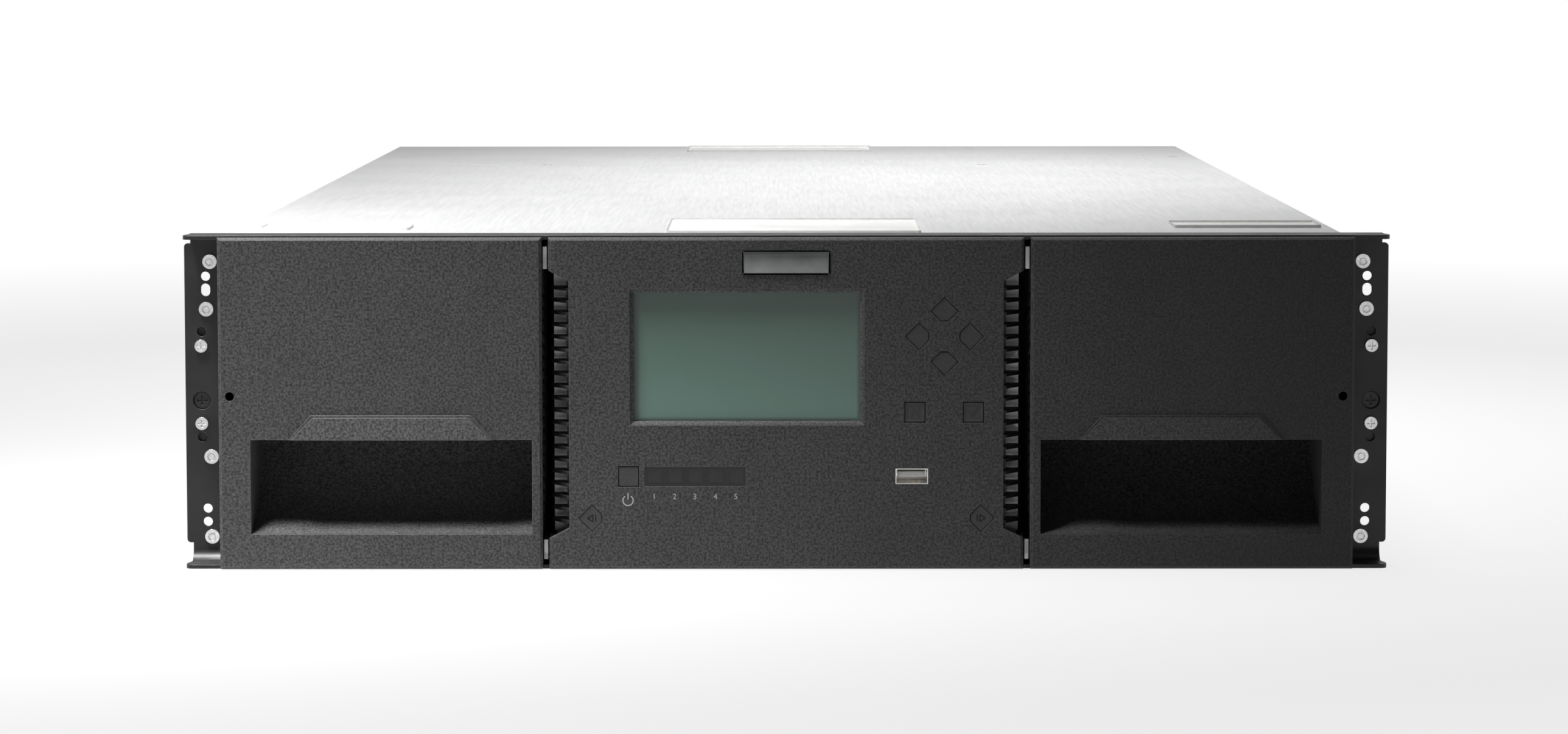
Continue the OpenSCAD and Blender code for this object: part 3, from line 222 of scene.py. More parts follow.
# powder coat: orange peel, faint clouding, and edges lighter in patches, partly rubbed wear and partly a
# painted highlight
def powderCoat(name, look):
    finish, tree, shader, place = newFinish(name, 0, 0.4, 0.5)
    peel = grain(tree, place, 1000 / look["peel"], 2)
    cloud = grain(tree, place, 55, 4)
    rounded, edge = softEdge(tree, 0.45)
    patch = between(tree, grain(tree, place, 300, 4), 0.45, 0.7, 0.1, 0.85)
    body = tones(tree, cloud, [(0.35, look["dark"]), (0.68, look["light"])])
    # edges lighter in patches: rubbed wear and a painted highlight
    paintBody(tree, shader, body, edge, patch, look["edgeWearAndSheen"])
    varyGloss(tree, shader, cloud, (0.3, 0.5))
    relief(tree, shader, peel, 0.03, 0.5, rounded)
    return finish


coverLook = {"dark": (0.60, 0.602, 0.605), "light": (0.66, 0.662, 0.665), "brush": 900, "metal": 0.25}


# bare sheet: fine mill lines along the depth, soft clouding, slight waviness, and edges painted near white
# as a painted highlight
def coverSheet(name, look):
    finish, tree, shader, place = newFinish(name, look["metal"], 0.38, 0.5)
    mill = grain(tree, place, look["brush"], 3, (1, 0.03, 1))
    cloud = grain(tree, place, 14, 3)
    rounded, edge = softEdge(tree, 0.4)
    clouded = tones(tree, cloud, [(0.3, look["dark"]), (0.7, look["light"])])
    body = blendTones(tree, "MIX", sums(tree, "MULTIPLY", mill, 0.35), clouded, look["light"])
    # edges near white: a painted highlight
    paintBody(tree, shader, body, edge, 0.5, (0.8, 0.8, 0.8))
    varyGloss(tree, shader, mill, (0.33, 0.45))
    relief(tree, shader, mill, 0.006, 0.5, rounded)
    return finish


zincLook = {"dark": (0.50, 0.51, 0.52), "light": (0.62, 0.625, 0.63), "flake": 5}


# zinc sheet: the angular flakes of a plated coil
def zincSheet(name, look):
    finish, tree, shader, place = newFinish(name, 0.85, 0.4, 0.5)
    flakes = tree.nodes.new("ShaderNodeTexVoronoi")
    flakes.inputs["Scale"].default_value = 1000 / look["flake"]
    tree.links.new(place, flakes.inputs["Vector"])
    shade = tree.nodes.new("ShaderNodeSeparateColor")
    tree.links.new(flakes.outputs["Color"], shade.inputs["Color"])
    rounded, _ = softEdge(tree, 0.3)
    fine = grain(tree, place, 700, 3)
    flakeTone = tones(tree, shade.outputs["Red"], [(0.0, look["dark"]), (1.0, look["light"])])
    tree.links.new(flakeTone, shader.inputs["Base Color"])
    tree.links.new(between(tree, shade.outputs["Green"], 0, 1, 0.32, 0.5), shader.inputs["Roughness"])
    relief(tree, shader, fine, 0.01, 0.5, rounded)
    return finish


# turned, ground or plated metal: lines in one direction, edges painted a little brighter as a painted
# highlight
def workedMetal(name, dark, light, roughness, lines=800, stretch=(1, 1, 1), depth=0.008, metallic=1.0):
    finish, tree, shader, place = newFinish(name, metallic, roughness[0], 0.5)
    scratch = grain(tree, place, lines, 3, stretch)
    stain = grain(tree, place, 120, 3)
    rounded, edge = softEdge(tree, 0.25)
    stained = tones(tree, stain, [(0.3, dark), (0.7, light)])
    body = blendTones(tree, "MIX", sums(tree, "MULTIPLY", scratch, 0.6), stained, light)
    # edges brighter: a painted highlight
    paintBody(tree, shader, body, edge, 0.4, brighter(light, 1.25))
    varyGloss(tree, shader, scratch, roughness)
    relief(tree, shader, scratch, depth, 0.6, rounded)
    return finish


# plain mouldings inside: fine erosion grain, a faint drift of colour, and edges painted lighter as a painted
# highlight
def mouldedPart(name, dark, light, roughness=(0.45, 0.6), size=1.0, depth=0.03):
    finish, tree, shader, place = newFinish(name, 0, roughness[0], 0.45)
    fine = grain(tree, place, 1000 / size, 3)
    broad = grain(tree, place, 70, 2)
    rounded, edge = softEdge(tree, 0.3)
    both = sums(tree, "ADD", sums(tree, "MULTIPLY", fine, 0.5), sums(tree, "MULTIPLY", broad, 0.5))
    body = tones(tree, both, [(0.38, dark), (0.62, light)])
    # edges lighter: a painted highlight
    paintBody(tree, shader, body, edge, 0.35, brighter(light, 1.9))
    varyGloss(tree, shader, fine, roughness)
    relief(tree, shader, fine, depth, 0.6, rounded)
    return finish


displayLook = {
    "top": (0.045, 0.088, 0.066),
    "bottom": (0.125, 0.225, 0.185),
    # border tone: the glass's own dark border and painted shadow
    "borderAndShadowTone": (0.018, 0.034, 0.028),
    "left": -61.6, "right": 30.7, "low": 57.4, "high": 111.3,     # mm, the bezel's opening
    "pixel": 0.36,
}


# grey-green liquid crystal under clear glass: lighter downwards, a dark border all round, partly the glass's
# own border and partly painted shadow, wider and softer left and below
def displayGlass(name, look):
    finish, tree, shader, place = newFinish(name, 0, 0.07, 0.5)
    split = tree.nodes.new("ShaderNodeSeparateXYZ")
    tree.links.new(place, split.inputs["Vector"])
    x, z = split.outputs["X"], split.outputs["Z"]
    height = between(tree, z, look["low"] * mm, look["high"] * mm, 0, 1)
    middle = tuple(a * 0.55 + b * 0.45 for a, b in zip(look["bottom"], look["top"]))
    field = tones(tree, height, [(0.0, look["bottom"]), (0.45, middle), (1.0, look["top"])])
    dots = tree.nodes.new("ShaderNodeTexChecker")
    dots.inputs["Scale"].default_value = 1000 / look["pixel"]
    dots.inputs["Color1"].default_value = (1, 1, 1, 1)
    dots.inputs["Color2"].default_value = (0.93, 0.93, 0.93, 1)
    tree.links.new(place, dots.inputs["Vector"])
    field = blendTones(tree, "MULTIPLY", 1.0, field, dots.outputs["Color"])
    fromLeft = between(tree, x, (look["left"] + 1.2) * mm, (look["left"] + 4.2) * mm, 1, 0)
    fromRight = between(tree, x, (look["right"] - 1.6) * mm, (look["right"] - 3.2) * mm, 1, 0)
    fromLow = between(tree, z, (look["low"] + 1.4) * mm, (look["low"] + 3.0) * mm, 1, 0)
    fromHigh = between(tree, z, (look["high"] - 0.9) * mm, (look["high"] - 2.2) * mm, 1, 0)
    leftLow = sums(tree, "MAXIMUM", fromLeft, fromLow)
    rightHigh = sums(tree, "MAXIMUM", fromRight, fromHigh)
    shade = sums(tree, "MAXIMUM", leftLow, rightHigh)
    # dark border: printed border and painted shadow, wider left and below
    paintBody(tree, shader, field, shade, 0.85, look["borderAndShadowTone"])
    smear = grain(tree, place, 40, 3)
    tree.links.new(between(tree, smear, 0.35, 0.7, 0.05, 0.13), shader.inputs["Roughness"])
    relief(tree, shader, smear, 0.01, 0.1)
    return finish


stripLook = {"body": (0.0045, 0.0045, 0.005), "window": (0.014, 0.013, 0.013), "sheen": (0.16, 0.28)}


# smoked strip: gloss face, the windows a shade lighter where the face is let in
def smokedStrip(name, look):
    finish, tree, shader, place = newFinish(name, 0, 0.2, 0.5)
    split = tree.nodes.new("ShaderNodeSeparateXYZ")
    tree.links.new(place, split.inputs["Vector"])
    recess = between(tree, split.outputs["Y"], faceDepth + 0.0004, faceDepth + 0.00055, 0, 1)
    fine = grain(tree, place, 900, 3)
    body = blendTones(tree, "MIX", recess, look["body"], look["window"])
    speck = tones(tree, fine, [(0.3, (0.8, 0.8, 0.8)), (0.7, (1, 1, 1))])
    tree.links.new(blendTones(tree, "MULTIPLY", 1.0, body, speck), shader.inputs["Base Color"])
    varyGloss(tree, shader, fine, look["sheen"])
    relief(tree, shader, fine, 0.004, 0.4)
    return finish


boardLook = {"mask": (0.012, 0.085, 0.035), "track": (0.03, 0.16, 0.07), "weave": 1.2}


# solder mask over tracks
def solderMask(name, look):
    finish, tree, shader, place = newFinish(name, 0, 0.3, 0.5)
    tracks = tree.nodes.new("ShaderNodeTexBrick")
    tracks.inputs["Scale"].default_value = 110
    tracks.inputs["Mortar Size"].default_value = 0.035
    tracks.inputs["Color1"].default_value = (*look["mask"], 1)
    tracks.inputs["Color2"].default_value = (*look["mask"], 1)
    tracks.inputs["Mortar"].default_value = (*look["track"], 1)
    turn = tree.nodes.new("ShaderNodeMapping")
    turn.inputs["Rotation"].default_value = (math.radians(90), 0, 0)
    tree.links.new(place, turn.inputs["Vector"])
    tree.links.new(turn.outputs["Vector"], tracks.inputs["Vector"])
    fine = grain(tree, place, 1000 / look["weave"], 2)
    tree.links.new(tracks.outputs["Color"], shader.inputs["Base Color"])
    varyGloss(tree, shader, fine, (0.25, 0.4))
    relief(tree, shader, tracks.outputs["Fac"], 0.05, 0.5)
    return finish


readerLook = {"dark": (0.09, 0.004, 0.004), "light": (0.2, 0.012, 0.01)}

finishes = {
    "black_steel": powderCoat("blackSteel", blackSteelLook),
    "bright_screw": workedMetal("brightScrew",
        (0.62, 0.62, 0.63), (0.86, 0.86, 0.87), (0.18, 0.34), 900, (1, 1, 1),
        0.01),
    "black_screw": workedMetal("blackScrew",
        (0.02, 0.02, 0.021), (0.05, 0.05, 0.052), (0.28, 0.42), 900, (1, 1, 1), 0.01,
        0.6),
    "cover_steel": coverSheet("coverSteel", coverLook),
    "zinc_steel": zincSheet("zincSteel", zincLook),
    "bezel_plastic": mouldedBezel("bezelPlastic", bezelLook),
    "button_plastic": mouldedButton("buttonPlastic", buttonLook),
    "display_glass": displayGlass("displayGlass", displayLook),
    "status_plastic": smokedStrip("statusPlastic", stripLook),
    "circuit_board": solderMask("circuitBoard", boardLook),
    "tray_plastic": mouldedPart("trayPlastic",
        (0.014, 0.014, 0.015), (0.026, 0.026, 0.028), (0.42, 0.58),
        1.1),
    "cartridge_plastic": mouldedPart("cartridgePlastic",
        (0.034, 0.042, 0.058), (0.052, 0.062, 0.084), (0.5, 0.66), 0.8,
        0.04),
    "guide_plastic": mouldedPart("guidePlastic",
        (0.52, 0.52, 0.5), (0.64, 0.64, 0.62), (0.35, 0.5),
        1.6),
    "solenoid_steel": workedMetal("solenoidSteel",
        (0.28, 0.29, 0.3), (0.42, 0.43, 0.44), (0.35, 0.5), 500,
        (1, 1, 0.1)),
    "machined_steel": workedMetal("machinedSteel",
        (0.6, 0.61, 0.62), (0.76, 0.77, 0.78), (0.12, 0.24), 1400, (1, 1, 0.05),
        0.004),
    "robot_aluminium": workedMetal("robotAluminium",
        (0.54, 0.55, 0.56), (0.7, 0.71, 0.72), (0.34, 0.48), 900, (0.05, 1, 1),
        0.01),
    "gear_plastic": mouldedPart("gearPlastic", (0.6, 0.52, 0.35), (0.74, 0.67, 0.48), (0.38, 0.52), 1.4),
    "motor_black": powderCoat("motorBlack", {
        "dark": (0.012, 0.012, 0.013), "light": (0.03, 0.03, 0.033),
        # its edge tone is patchy wear together with a painted highlight
        "edgeWearAndSheen": (0.2, 0.2, 0.2), "peel": 1.0,
    }),
    "deck_plastic": mouldedPart("deckPlastic",
        (0.07, 0.074, 0.082), (0.105, 0.11, 0.12), (0.45, 0.6),
        0.9),
    "gripper_plastic": mouldedPart("gripperPlastic",
        (0.33, 0.085, 0.022), (0.45, 0.135, 0.04), (0.4, 0.55),
        1.2),
    "reader_plastic": mouldedPart("readerPlastic",
        readerLook["dark"], readerLook["light"], (0.08, 0.16), 3,
        0.005),
    "drive_steel": powderCoat("driveSteel", {
        # its edge tone is patchy wear together with a painted highlight
        "dark": (0.11, 0.118, 0.125), "light": (0.17, 0.18, 0.19), "edgeWearAndSheen": (0.5, 0.5, 0.5),
        "peel": 1.2,
    }),
    "module_steel": coverSheet("moduleSteel", {
        "dark": (0.40, 0.41, 0.42), "light": (0.54, 0.55, 0.56), "brush": 700,
        "metal": 0.7,
    }),
    "fan_plastic": mouldedPart("fanPlastic",
        (0.008, 0.008, 0.009), (0.018, 0.018, 0.019), (0.35, 0.5),
        1.2),
    "socket_steel": workedMetal("socketSteel",
        (0.68, 0.68, 0.67), (0.86, 0.86, 0.84), (0.14, 0.26), 1200, (0.1, 1, 1),
        0.004),
}
for part in frame["record"]["subparts"]:
    for slot in frame["nodes"][part["node"]].material_slots:
        slot.material = finishes[part["material_slot"]]


# extra finishes for the new pieces

def printInk(name, colour):
    finish, tree, shader, place = newFinish(name, 0, 0.6, 0.3)
    fine = grain(tree, place, 2200, 3)
    speckled = tones(tree, fine, [(0.25, brighter(colour, 0.8)), (0.6, colour)])
    tree.links.new(speckled, shader.inputs["Base Color"])
    varyGloss(tree, shader, fine, (0.5, 0.7))
    relief(tree, shader, fine, 0.01, 0.4)
    return finish


def stickerFilm(name, colour, speck):
    finish, tree, shader, place = newFinish(name, 0, 0.35, 0.45)
    fibre = grain(tree, place, 420, 4)
    drift = grain(tree, place, 30, 2)
    body = tones(tree, fibre, [(0.3, speck), (0.62, colour)])
    faded = tones(tree, drift, [(0.3, (0.96, 0.96, 0.95)), (0.7, (1, 1, 1))])
    body = blendTones(tree, "MULTIPLY", 1.0, body, faded)
    tree.links.new(body, shader.inputs["Base Color"])
    varyGloss(tree, shader, drift, (0.28, 0.42))
    relief(tree, shader, fibre, 0.006, 0.3)
    return finish


inkLight = printInk("inkLight", (0.46, 0.46, 0.46))
markPlastic = mouldedPart("markPlastic", (0.05, 0.05, 0.052), (0.075, 0.075, 0.078), (0.3, 0.42), 0.7, 0.01)
tonguePlastic = mouldedPart("tonguePlastic", (0.62, 0.62, 0.61), (0.74, 0.74, 0.73), (0.3, 0.42), 0.8, 0.01)
labelFilm = stickerFilm("labelFilm", (0.84, 0.84, 0.83), (0.78, 0.78, 0.77))
plateSatin = workedMetal("plateSatin", (0.16, 0.165, 0.165), (0.25, 0.26, 0.26), (0.3, 0.44),
    1000, (0.04, 1, 1), 0.01)
contactGold = workedMetal("contactGold", (0.7, 0.48, 0.18), (0.88, 0.66, 0.3), (0.18, 0.3),
    1500, (1, 0.1, 1), 0.003)


# modelling helpers

def startPiece(name, made):
    piece = bpy.context.object
    piece.name = name
    piece.data.name = name
    piece.data.materials.clear()
    piece.data.materials.append(made)
    return piece


def onlySelect(*pieces):
    bpy.ops.object.select_all(action="DESELECT")
    for piece in pieces:
        piece.select_set(True)
    bpy.context.view_layer.objects.active = pieces[-1]


def settle(piece):
    onlySelect(piece)
    bpy.ops.object.transform_apply(location=True, rotation=True, scale=True)


def joinPieces(name, pieces):
    onlySelect(*pieces)
    bpy.ops.object.join()
    piece = bpy.context.object
    piece.name = name
    piece.data.name = name
    settle(piece)
    return piece


# a block between two depths, shaped further by the caller
def startBlock(low, high):
    bpy.ops.object.select_all(action="DESELECT")
    bpy.ops.mesh.primitive_cube_add(size=1, location=(low + high) / 2)
    block = bpy.context.object
    block.scale = high - low
    bpy.ops.object.transform_apply(location=True, rotation=True, scale=True)


def pickFaces(piece, wanted):
    bpy.ops.object.mode_set(mode="OBJECT")
    for vertex in piece.data.vertices:
        vertex.select = False
    for edge in piece.data.edges:
        edge.select = False
    for face in piece.data.polygons:
        face.select = bool(wanted(face))
    bpy.ops.object.mode_set(mode="EDIT")


def pickEdges(piece, wanted):
    bpy.ops.object.mode_set(mode="OBJECT")
    points = piece.data.vertices
    for face in piece.data.polygons:
        face.select = False
    for vertex in points:
        vertex.select = False
    for edge in piece.data.edges:
        edge.select = bool(wanted(points[edge.vertices[0]].co, points[edge.vertices[1]].co))
    bpy.ops.object.mode_set(mode="EDIT")


def facing(direction, least=0.9):
    aim = Vector(direction)
    return lambda face: face.normal.dot(aim) > least


# one closed shell with its faces outwards
def closeShell(piece):
    onlySelect(piece)
    bpy.ops.object.mode_set(mode="EDIT")
    bpy.ops.mesh.select_all(action="SELECT")
    bpy.ops.mesh.remove_doubles(threshold=0.002 * mm)
    bpy.ops.mesh.select_all(action="DESELECT")
    bpy.ops.mesh.select_non_manifold(extend=False, use_wire=False, use_multi_face=False,
        use_non_contiguous=False, use_verts=False)
    bpy.ops.mesh.edge_face_add()
    bpy.ops.mesh.select_all(action="SELECT")
    bpy.ops.mesh.normals_make_consistent(inside=False)
    bpy.ops.object.mode_set(mode="OBJECT")


def smoothByAngle(piece, degrees=35):
    onlySelect(piece)
    bpy.ops.object.shade_smooth_by_angle(angle=math.radians(degrees))


def finishPiece(piece, body):
    settle(piece)
    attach(piece, body)


# operator panel trim

badge = {
    "centre": (0.0, 121.6), "width": 34.6, "height": 9.6, "proud": 0.5, "radius": 0.5,
    "rim": 0.45, "lift": 0.18,      # raised rim
    "slope": 0.6, "dish": 0.12,     # dished middle
}


# bare satin plate with a shallow dished face
def badgePlate(look):
    x, z = look["centre"]
    halfW, halfH = look["width"] / 2, look["height"] / 2
    startBlock(spot(x - halfW, -look["proud"], z - halfH), spot(x + halfW, 0.2, z + halfH))
    plate = startPiece("badgePlate", plateSatin)
    pickEdges(plate, lambda a, b: abs(a.y - b.y) > 0.0003)
    bpy.ops.mesh.bevel(offset=look["radius"] * mm, segments=3)
    pickFaces(plate, facing((0, -1, 0)))
    bpy.ops.mesh.inset(thickness=look["rim"] * mm)
    bpy.ops.transform.translate(value=(0, -look["lift"] * mm, 0))
    bpy.ops.mesh.inset(thickness=look["slope"] * mm)
    bpy.ops.transform.translate(value=(0, look["dish"] * mm, 0))
    bpy.ops.object.mode_set(mode="OBJECT")
    smoothByAngle(plate, 30)
    finishPiece(plate, "chassis")


numerals = {"size": 3.1, "z": 28.2, "firstX": -52.1, "pitch": 8.05, "proud": 0.04}


# plain numbers under the five indicator windows
def indicatorNumbers(look):
    made = []
    for number in range(5):
        bpy.ops.object.select_all(action="DESELECT")
        bpy.ops.object.text_add()
        digit = bpy.context.object
        digit.data.body = str(number + 1)
        digit.data.align_x = "CENTER"
        digit.data.align_y = "BOTTOM_BASELINE"
        digit.data.size = look["size"] * mm
        digit.data.extrude = look["proud"] * mm
        digit.rotation_euler = (math.radians(90), 0, 0)
        digit.location = spot(look["firstX"] + number * look["pitch"], 0, look["z"])
        bpy.ops.object.convert(target="MESH")
        bpy.ops.object.transform_apply(location=True, rotation=True, scale=True)
        made.append(startPiece("digit", inkLight))
    row = joinPieces("indicatorNumbers", made)
    finishPiece(row, "chassis")


powerMark = {
    "centre": (-62.4, 27.7), "radius": 2.0, "line": 0.42, "proud": 0.05,
    "gap": 64,                      # degrees
    "barLow": 0.4, "barTop": 3.0, "barRound": 0.12,
}


# open ring with a bar through the gap, spun from one small face
def powerSymbol(look):
    x, z = look["centre"]
    middle = spot(x, 0, z)
    bpy.ops.object.select_all(action="DESELECT")
    bpy.ops.mesh.primitive_plane_add(size=1, location=spot(x + look["radius"], -look["proud"] / 2, z))
    ring = startPiece("powerSymbol", inkLight)
    ring.scale = (look["line"] * mm, look["proud"] * mm, 1)
    bpy.ops.object.transform_apply(location=True, rotation=True, scale=True)
    bpy.ops.object.mode_set(mode="EDIT")
    bpy.ops.mesh.select_all(action="SELECT")
    bpy.ops.mesh.spin(steps=36, angle=math.radians(360 - look["gap"]), center=middle, axis=(0, 1, 0))
    bpy.ops.object.mode_set(mode="OBJECT")
    # the gap is brought to the top
    points = [vertex.co for vertex in ring.data.vertices]
    lean = sum((point - middle for point in points), Vector()) / len(points)
    turn = math.atan2(lean.z, lean.x) + math.pi / 2
    aboutMiddle = Matrix.Translation(middle) @ Matrix.Rotation(turn, 4, "Y")
    ring.data.transform(aboutMiddle @ Matrix.Translation(-middle))
    closeShell(ring)
    half = look["line"] / 2
    startBlock(spot(x - half, -look["proud"], z + look["barLow"]), spot(x + half, 0, z + look["barTop"]))
    bar = startPiece("powerBar", inkLight)
    pickEdges(bar, lambda a, b: abs(a.y - b.y) > 0.03 * mm)
    bpy.ops.mesh.bevel(offset=look["barRound"] * mm, segments=2)
    bpy.ops.object.mode_set(mode="OBJECT")
    finishPiece(joinPieces("powerSymbol", [ring, bar]), "chassis")


marks = {
    "line": 0.55, "proud": 0.1, "reach": 1.7,
    "cancel": (50.7, 62.6), "confirm": (73.7, 62.6), "face": 0.55,      # face let in behind a rim
    "release": (76.6, 20.65), "releaseFace": 0.3, "releaseLine": 0.32,
    "round": 0.15, "ease": 0.06, "crown": 0.03,
}


# a raised bar between two points on a button's face
def markBar(name, start, end, front, look):
    run = Vector((end[0] - start[0], 0, end[1] - start[1]))
    centre = ((start[0] + end[0]) / 2, (start[1] + end[1]) / 2)
    half = run.length / 2
    low = Vector((-half, -look["proud"], -look["line"] / 2))
    high = Vector((half, 0.02, look["line"] / 2))
    startBlock(low * mm, high * mm)
    bar = startPiece(name, markPlastic)
    pickEdges(bar, lambda a, b: abs(a.y - b.y) > 0.05 * mm)
    bpy.ops.mesh.bevel(offset=look["round"] * mm, segments=2)
    pickFaces(bar, facing((0, -1, 0)))
    bpy.ops.mesh.inset(thickness=look["ease"] * mm)
    bpy.ops.transform.translate(value=(0, -look["crown"] * mm, 0))
    bpy.ops.object.mode_set(mode="OBJECT")
    bar.rotation_euler = (0, -math.atan2(run.z, run.x), 0)
    bar.location = spot(centre[0], front, centre[1])
    settle(bar)
    return bar


def crossMark(look):
    x, z = look["cancel"]
    r = look["reach"]
    bars = [markBar("crossBar", (x - r, z - r), (x + r, z + r), look["face"], look),
            markBar("crossBar", (x - r, z + r), (x + r, z - r), look["face"], look)]
    finishPiece(joinPieces("cancelMark", bars), "cancel_button")


def tickMark(look):
    x, z = look["confirm"]
    bars = [markBar("tickBar", (x - 1.8, z + 0.1), (x - 0.5, z - 1.5), look["face"], look),
            markBar("tickBar", (x - 0.62, z - 1.5), (x + 1.9, z + 1.8), look["face"], look)]
    finishPiece(joinPieces("confirmMark", bars), "confirm_button")


# an outlined triangle beside a bar, pointing outwards
def releaseMark(look, side, body):
    x, z = look["release"][0] * side, look["release"][1]
    thin = dict(look, line=look["releaseLine"])
    face = look["releaseFace"]
    corners = [(x - 0.3 * side, z - 1.4), (x - 0.3 * side, z + 1.4), (x + 1.9 * side, z)]
    bars = [markBar("releaseBar", corners[i], corners[(i + 1) % 3], face, thin) for i in range(3)]
    bars.append(markBar("releaseBar", (x - 1.35 * side, z - 1.4), (x - 1.35 * side, z + 1.4), face, thin))
    finishPiece(joinPieces(body + "_mark", bars), body)


usbLook = {
    "centre": (49.45, 37.2), "halfWidth": 5.4, "tongue": (-0.28, 1.78), "depth": (1.45, 12.8), "round": 0.22,
    "contacts": (-3.5, -1.15, 1.15, 3.5), "contactDepth": (2.0, 11.5), "contactHalf": 0.5,
}


# white tongue with four sprung contacts under it
def usbTongue(look):
    x, z = look["centre"]
    low, high = look["tongue"]
    half = look["halfWidth"]
    startBlock(spot(x - half, look["depth"][0], z + low), spot(x + half, look["depth"][1], z + high))
    tongue = startPiece("usbTongue", tonguePlastic)
    front = look["depth"][0] * mm + faceDepth
    pickEdges(tongue, lambda a, b: max(a.y, b.y) < front + 1e-5)
    bpy.ops.mesh.bevel(offset=look["round"] * mm, segments=3)
    bpy.ops.object.mode_set(mode="OBJECT")
    smoothByAngle(tongue, 40)
    finishPiece(tongue, "chassis")
    strips = []
    nearEnd, farEnd = look["contactDepth"]
    for across in look["contacts"]:
        left, right = x + across - look["contactHalf"], x + across + look["contactHalf"]
        startBlock(spot(left, nearEnd, z + low - 0.16), spot(right, farEnd, z + low + 0.02))
        strip = startPiece("contactStrip", contactGold)
        pickFaces(strip, facing((0, 0, -1)))
        bpy.ops.mesh.inset(thickness=0.2 * mm)
        bpy.ops.transform.translate(value=(0, 0, -0.12 * mm))
        bpy.ops.object.mode_set(mode="OBJECT")
        strips.append(strip)
    finishPiece(joinPieces("usbContacts", strips), "chassis")


badgePlate(badge)
indicatorNumbers(numerals)
powerSymbol(powerMark)
crossMark(marks)
tickMark(marks)
releaseMark(marks, -1, "left_release_button")
releaseMark(marks, 1, "right_release_button")
usbTongue(usbLook)
print("operator panel trim made")


# labels on the top covers, all bare

deckTop = 130.4        # mm, upper face of the covers
filmLook = {"thick": 0.1, "round": 1.2, "rim": 0.3, "crown": 0.03}
coverLabels = {
    "leftLabel": (-214, -153.5, 67, 94),
    "rightLabel": (159, 219, 81, 113),
    "frontLabel": (-48.2, 54.2, 44, 130.5),
    "rearLabel": (-56, 47, 799, 856),
}


def coverLabel(look, name, x0, x1, y0, y1):
    startBlock(spot(x0, y0, deckTop - 0.02), spot(x1, y1, deckTop + look["thick"]))
    film = startPiece(name, labelFilm)
    pickEdges(film, lambda a, b: abs(a.z - b.z) > 0.05 * mm)
    bpy.ops.mesh.bevel(offset=look["round"] * mm, segments=5)
    pickFaces(film, facing((0, 0, 1)))
    bpy.ops.mesh.inset(thickness=look["rim"] * mm)
    bpy.ops.transform.translate(value=(0, 0, look["crown"] * mm))
    bpy.ops.object.mode_set(mode="OBJECT")
    finishPiece(film, "chassis")


for labelName, labelPlace in coverLabels.items():
    coverLabel(filmLook, labelName, *labelPlace)
print("cover labels made")


# stage, lamps and camera

# the floor's own light rises from glow to full between near and far, in metres from the middle
stageLook = {"floor": (0.86, 0.86, 0.86), "size": 14.0, "glow": 0.8, "near": 0.75, "far": 1.5}


def studioFloor(look):
    bpy.ops.object.select_all(action="DESELECT")
    bpy.ops.mesh.primitive_plane_add(size=look["size"], location=(0, 0, 0))
    floor = bpy.context.object
    floor.name = "studioFloor"
    finish = bpy.data.materials.new("studioFloor")
    finish.use_nodes = True
    tree = finish.node_tree
    paint = tree.nodes["Principled BSDF"]
    paint.inputs["Base Color"].default_value = (*look["floor"], 1)
    paint.inputs["Roughness"].default_value = 0.9
    glow = tree.nodes.new("ShaderNodeEmission")
    rays = tree.nodes.new("ShaderNodeLightPath")
    place = tree.nodes.new("ShaderNodeTexCoord").outputs["Object"]
    reach = tree.nodes.new("ShaderNodeVectorMath")
    reach.operation = "LENGTH"
    tree.links.new(place, reach.inputs[0])
    fade = between(tree, reach.outputs["Value"], look["near"], look["far"], look["glow"], 1)
    seen = sums(tree, "MAXIMUM", rays.outputs["Is Camera Ray"], rays.outputs["Is Glossy Ray"])
    share = sums(tree, "MULTIPLY", seen, fade)
    mix = tree.nodes.new("ShaderNodeMixShader")
    tree.links.new(share, mix.inputs[0])
    tree.links.new(paint.outputs[0], mix.inputs[1])
    tree.links.new(glow.outputs[0], mix.inputs[2])
    tree.links.new(mix.outputs[0], tree.nodes["Material Output"].inputs["Surface"])
    floor.data.materials.append(finish)


# front and behind: how bright the room is in reflections, seen that way
worldLook = {"ambient": 0.03, "front": 0.06, "behind": 0.5}


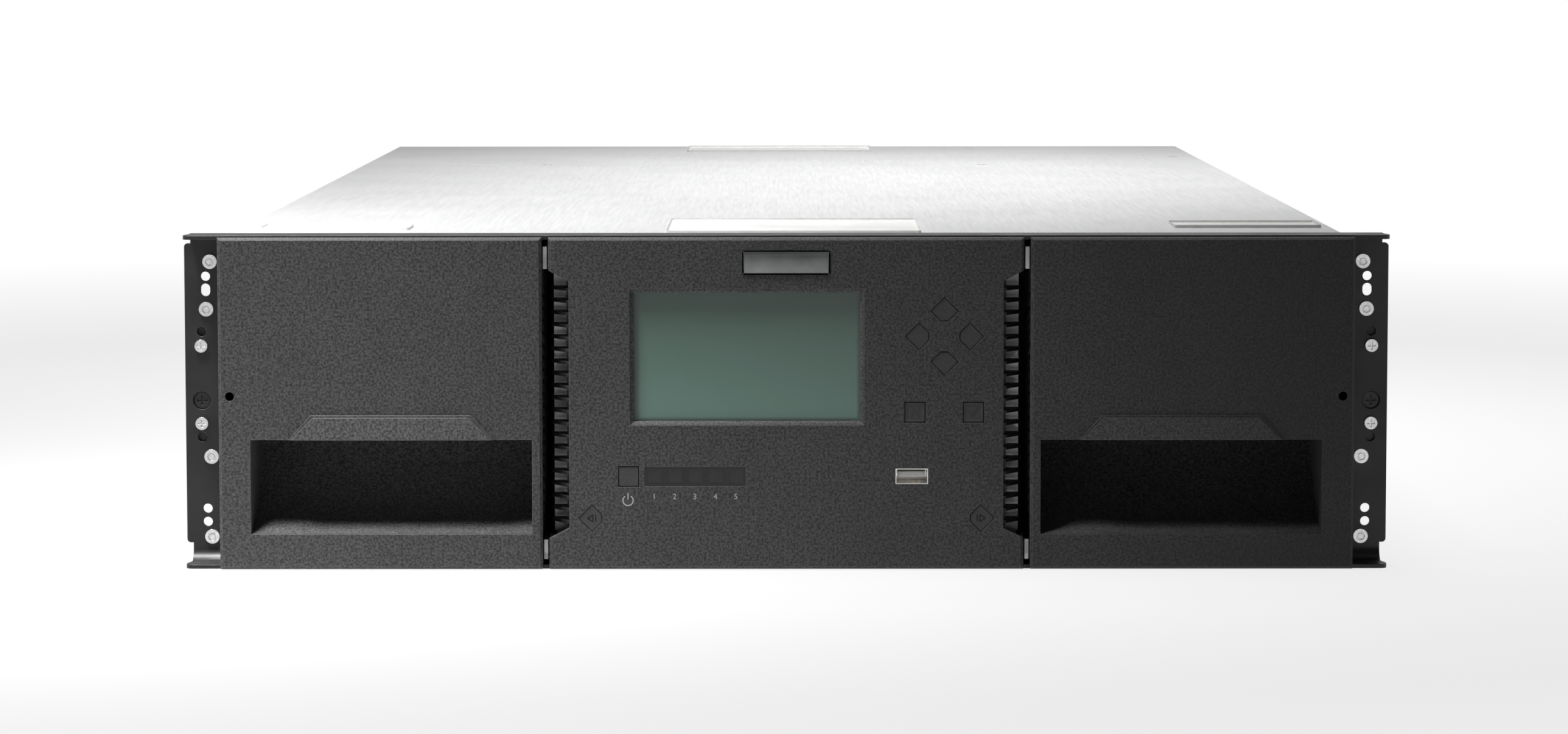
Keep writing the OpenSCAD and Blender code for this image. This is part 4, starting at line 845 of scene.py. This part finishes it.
def studioWorld(look):
    world = bpy.data.worlds.new("studioWorld")
    bpy.context.scene.world = world
    world.use_nodes = True
    tree = world.node_tree
    soft = tree.nodes["Background"]
    soft.inputs["Color"].default_value = (1, 1, 1, 1)
    soft.inputs["Strength"].default_value = look["ambient"]
    white = tree.nodes.new("ShaderNodeBackground")
    white.inputs["Color"].default_value = (1, 1, 1, 1)
    white.inputs["Strength"].default_value = 1
    rays = tree.nodes.new("ShaderNodeLightPath")
    split = tree.nodes.new("ShaderNodeSeparateXYZ")
    tree.links.new(tree.nodes.new("ShaderNodeTexCoord").outputs["Generated"], split.inputs["Vector"])
    mirrored = between(tree, split.outputs["Y"], -0.5, 0.4, look["front"], look["behind"])
    glossy = sums(tree, "MULTIPLY", rays.outputs["Is Glossy Ray"], mirrored)
    seen = sums(tree, "MAXIMUM", rays.outputs["Is Camera Ray"], glossy)
    seen = sums(tree, "MAXIMUM", seen, rays.outputs["Is Transmission Ray"])
    mix = tree.nodes.new("ShaderNodeMixShader")
    tree.links.new(seen, mix.inputs[0])
    tree.links.new(soft.outputs[0], mix.inputs[1])
    tree.links.new(white.outputs[0], mix.inputs[2])
    tree.links.new(mix.outputs[0], tree.nodes["World Output"].inputs["Surface"])


lampLook = [
    {"name": "keyLamp", "at": (-0.5, -0.75, 1.3), "aim": (-0.3, -0.43, 0.05),
        "size": 0.3, "power": 2.25, "spread": 40},
    {"name": "coverLamp", "at": (0.12, -0.22, 0.9), "aim": (0.12, -0.15, 0.13),
        "size": 0.35, "power": 0.55, "spread": 70},
    {"name": "rearLamp", "at": (0.05, 0.15, 0.8), "aim": (0.05, 0.15, 0.13),
        "size": 0.35, "power": 2.1, "spread": 90},
]


def softLamp(look):
    lamp = bpy.data.lights.new(look["name"], "AREA")
    lamp.shape = "SQUARE"
    lamp.size = look["size"]
    lamp.energy = look["power"]
    lamp.spread = math.radians(look["spread"])
    lampObject = bpy.data.objects.new(look["name"], lamp)
    bpy.context.scene.collection.objects.link(lampObject)
    lampObject.location = look["at"]
    sight = Vector(look["aim"]) - Vector(look["at"])
    lampObject.rotation_euler = sight.to_track_quat("-Z", "Y").to_euler()


# turns in degrees, lens in mm
cameraLook = {"at": (0.00164, -2.2918, 0.2455), "pitch": 84.92, "yaw": 0.074, "roll": 0.04, "lens": 108.8}


def studioCamera(look):
    camera = bpy.data.cameras.new("frontCamera")
    camera.lens = look["lens"]
    camera.sensor_width = 36
    camera.clip_start = 0.05
    camera.clip_end = 60
    cameraObject = bpy.data.objects.new("frontCamera", camera)
    bpy.context.scene.collection.objects.link(cameraObject)
    cameraObject.location = look["at"]
    turns = [math.radians(look[turn]) for turn in ("pitch", "roll", "yaw")]
    cameraObject.rotation_euler = Euler(turns)
    bpy.context.scene.camera = cameraObject


studioFloor(stageLook)
studioWorld(worldLook)
for lampDetail in lampLook:
    softLamp(lampDetail)
studioCamera(cameraLook)
bpy.context.scene.view_settings.view_transform = "Standard"
print("stage, lamps and camera set")
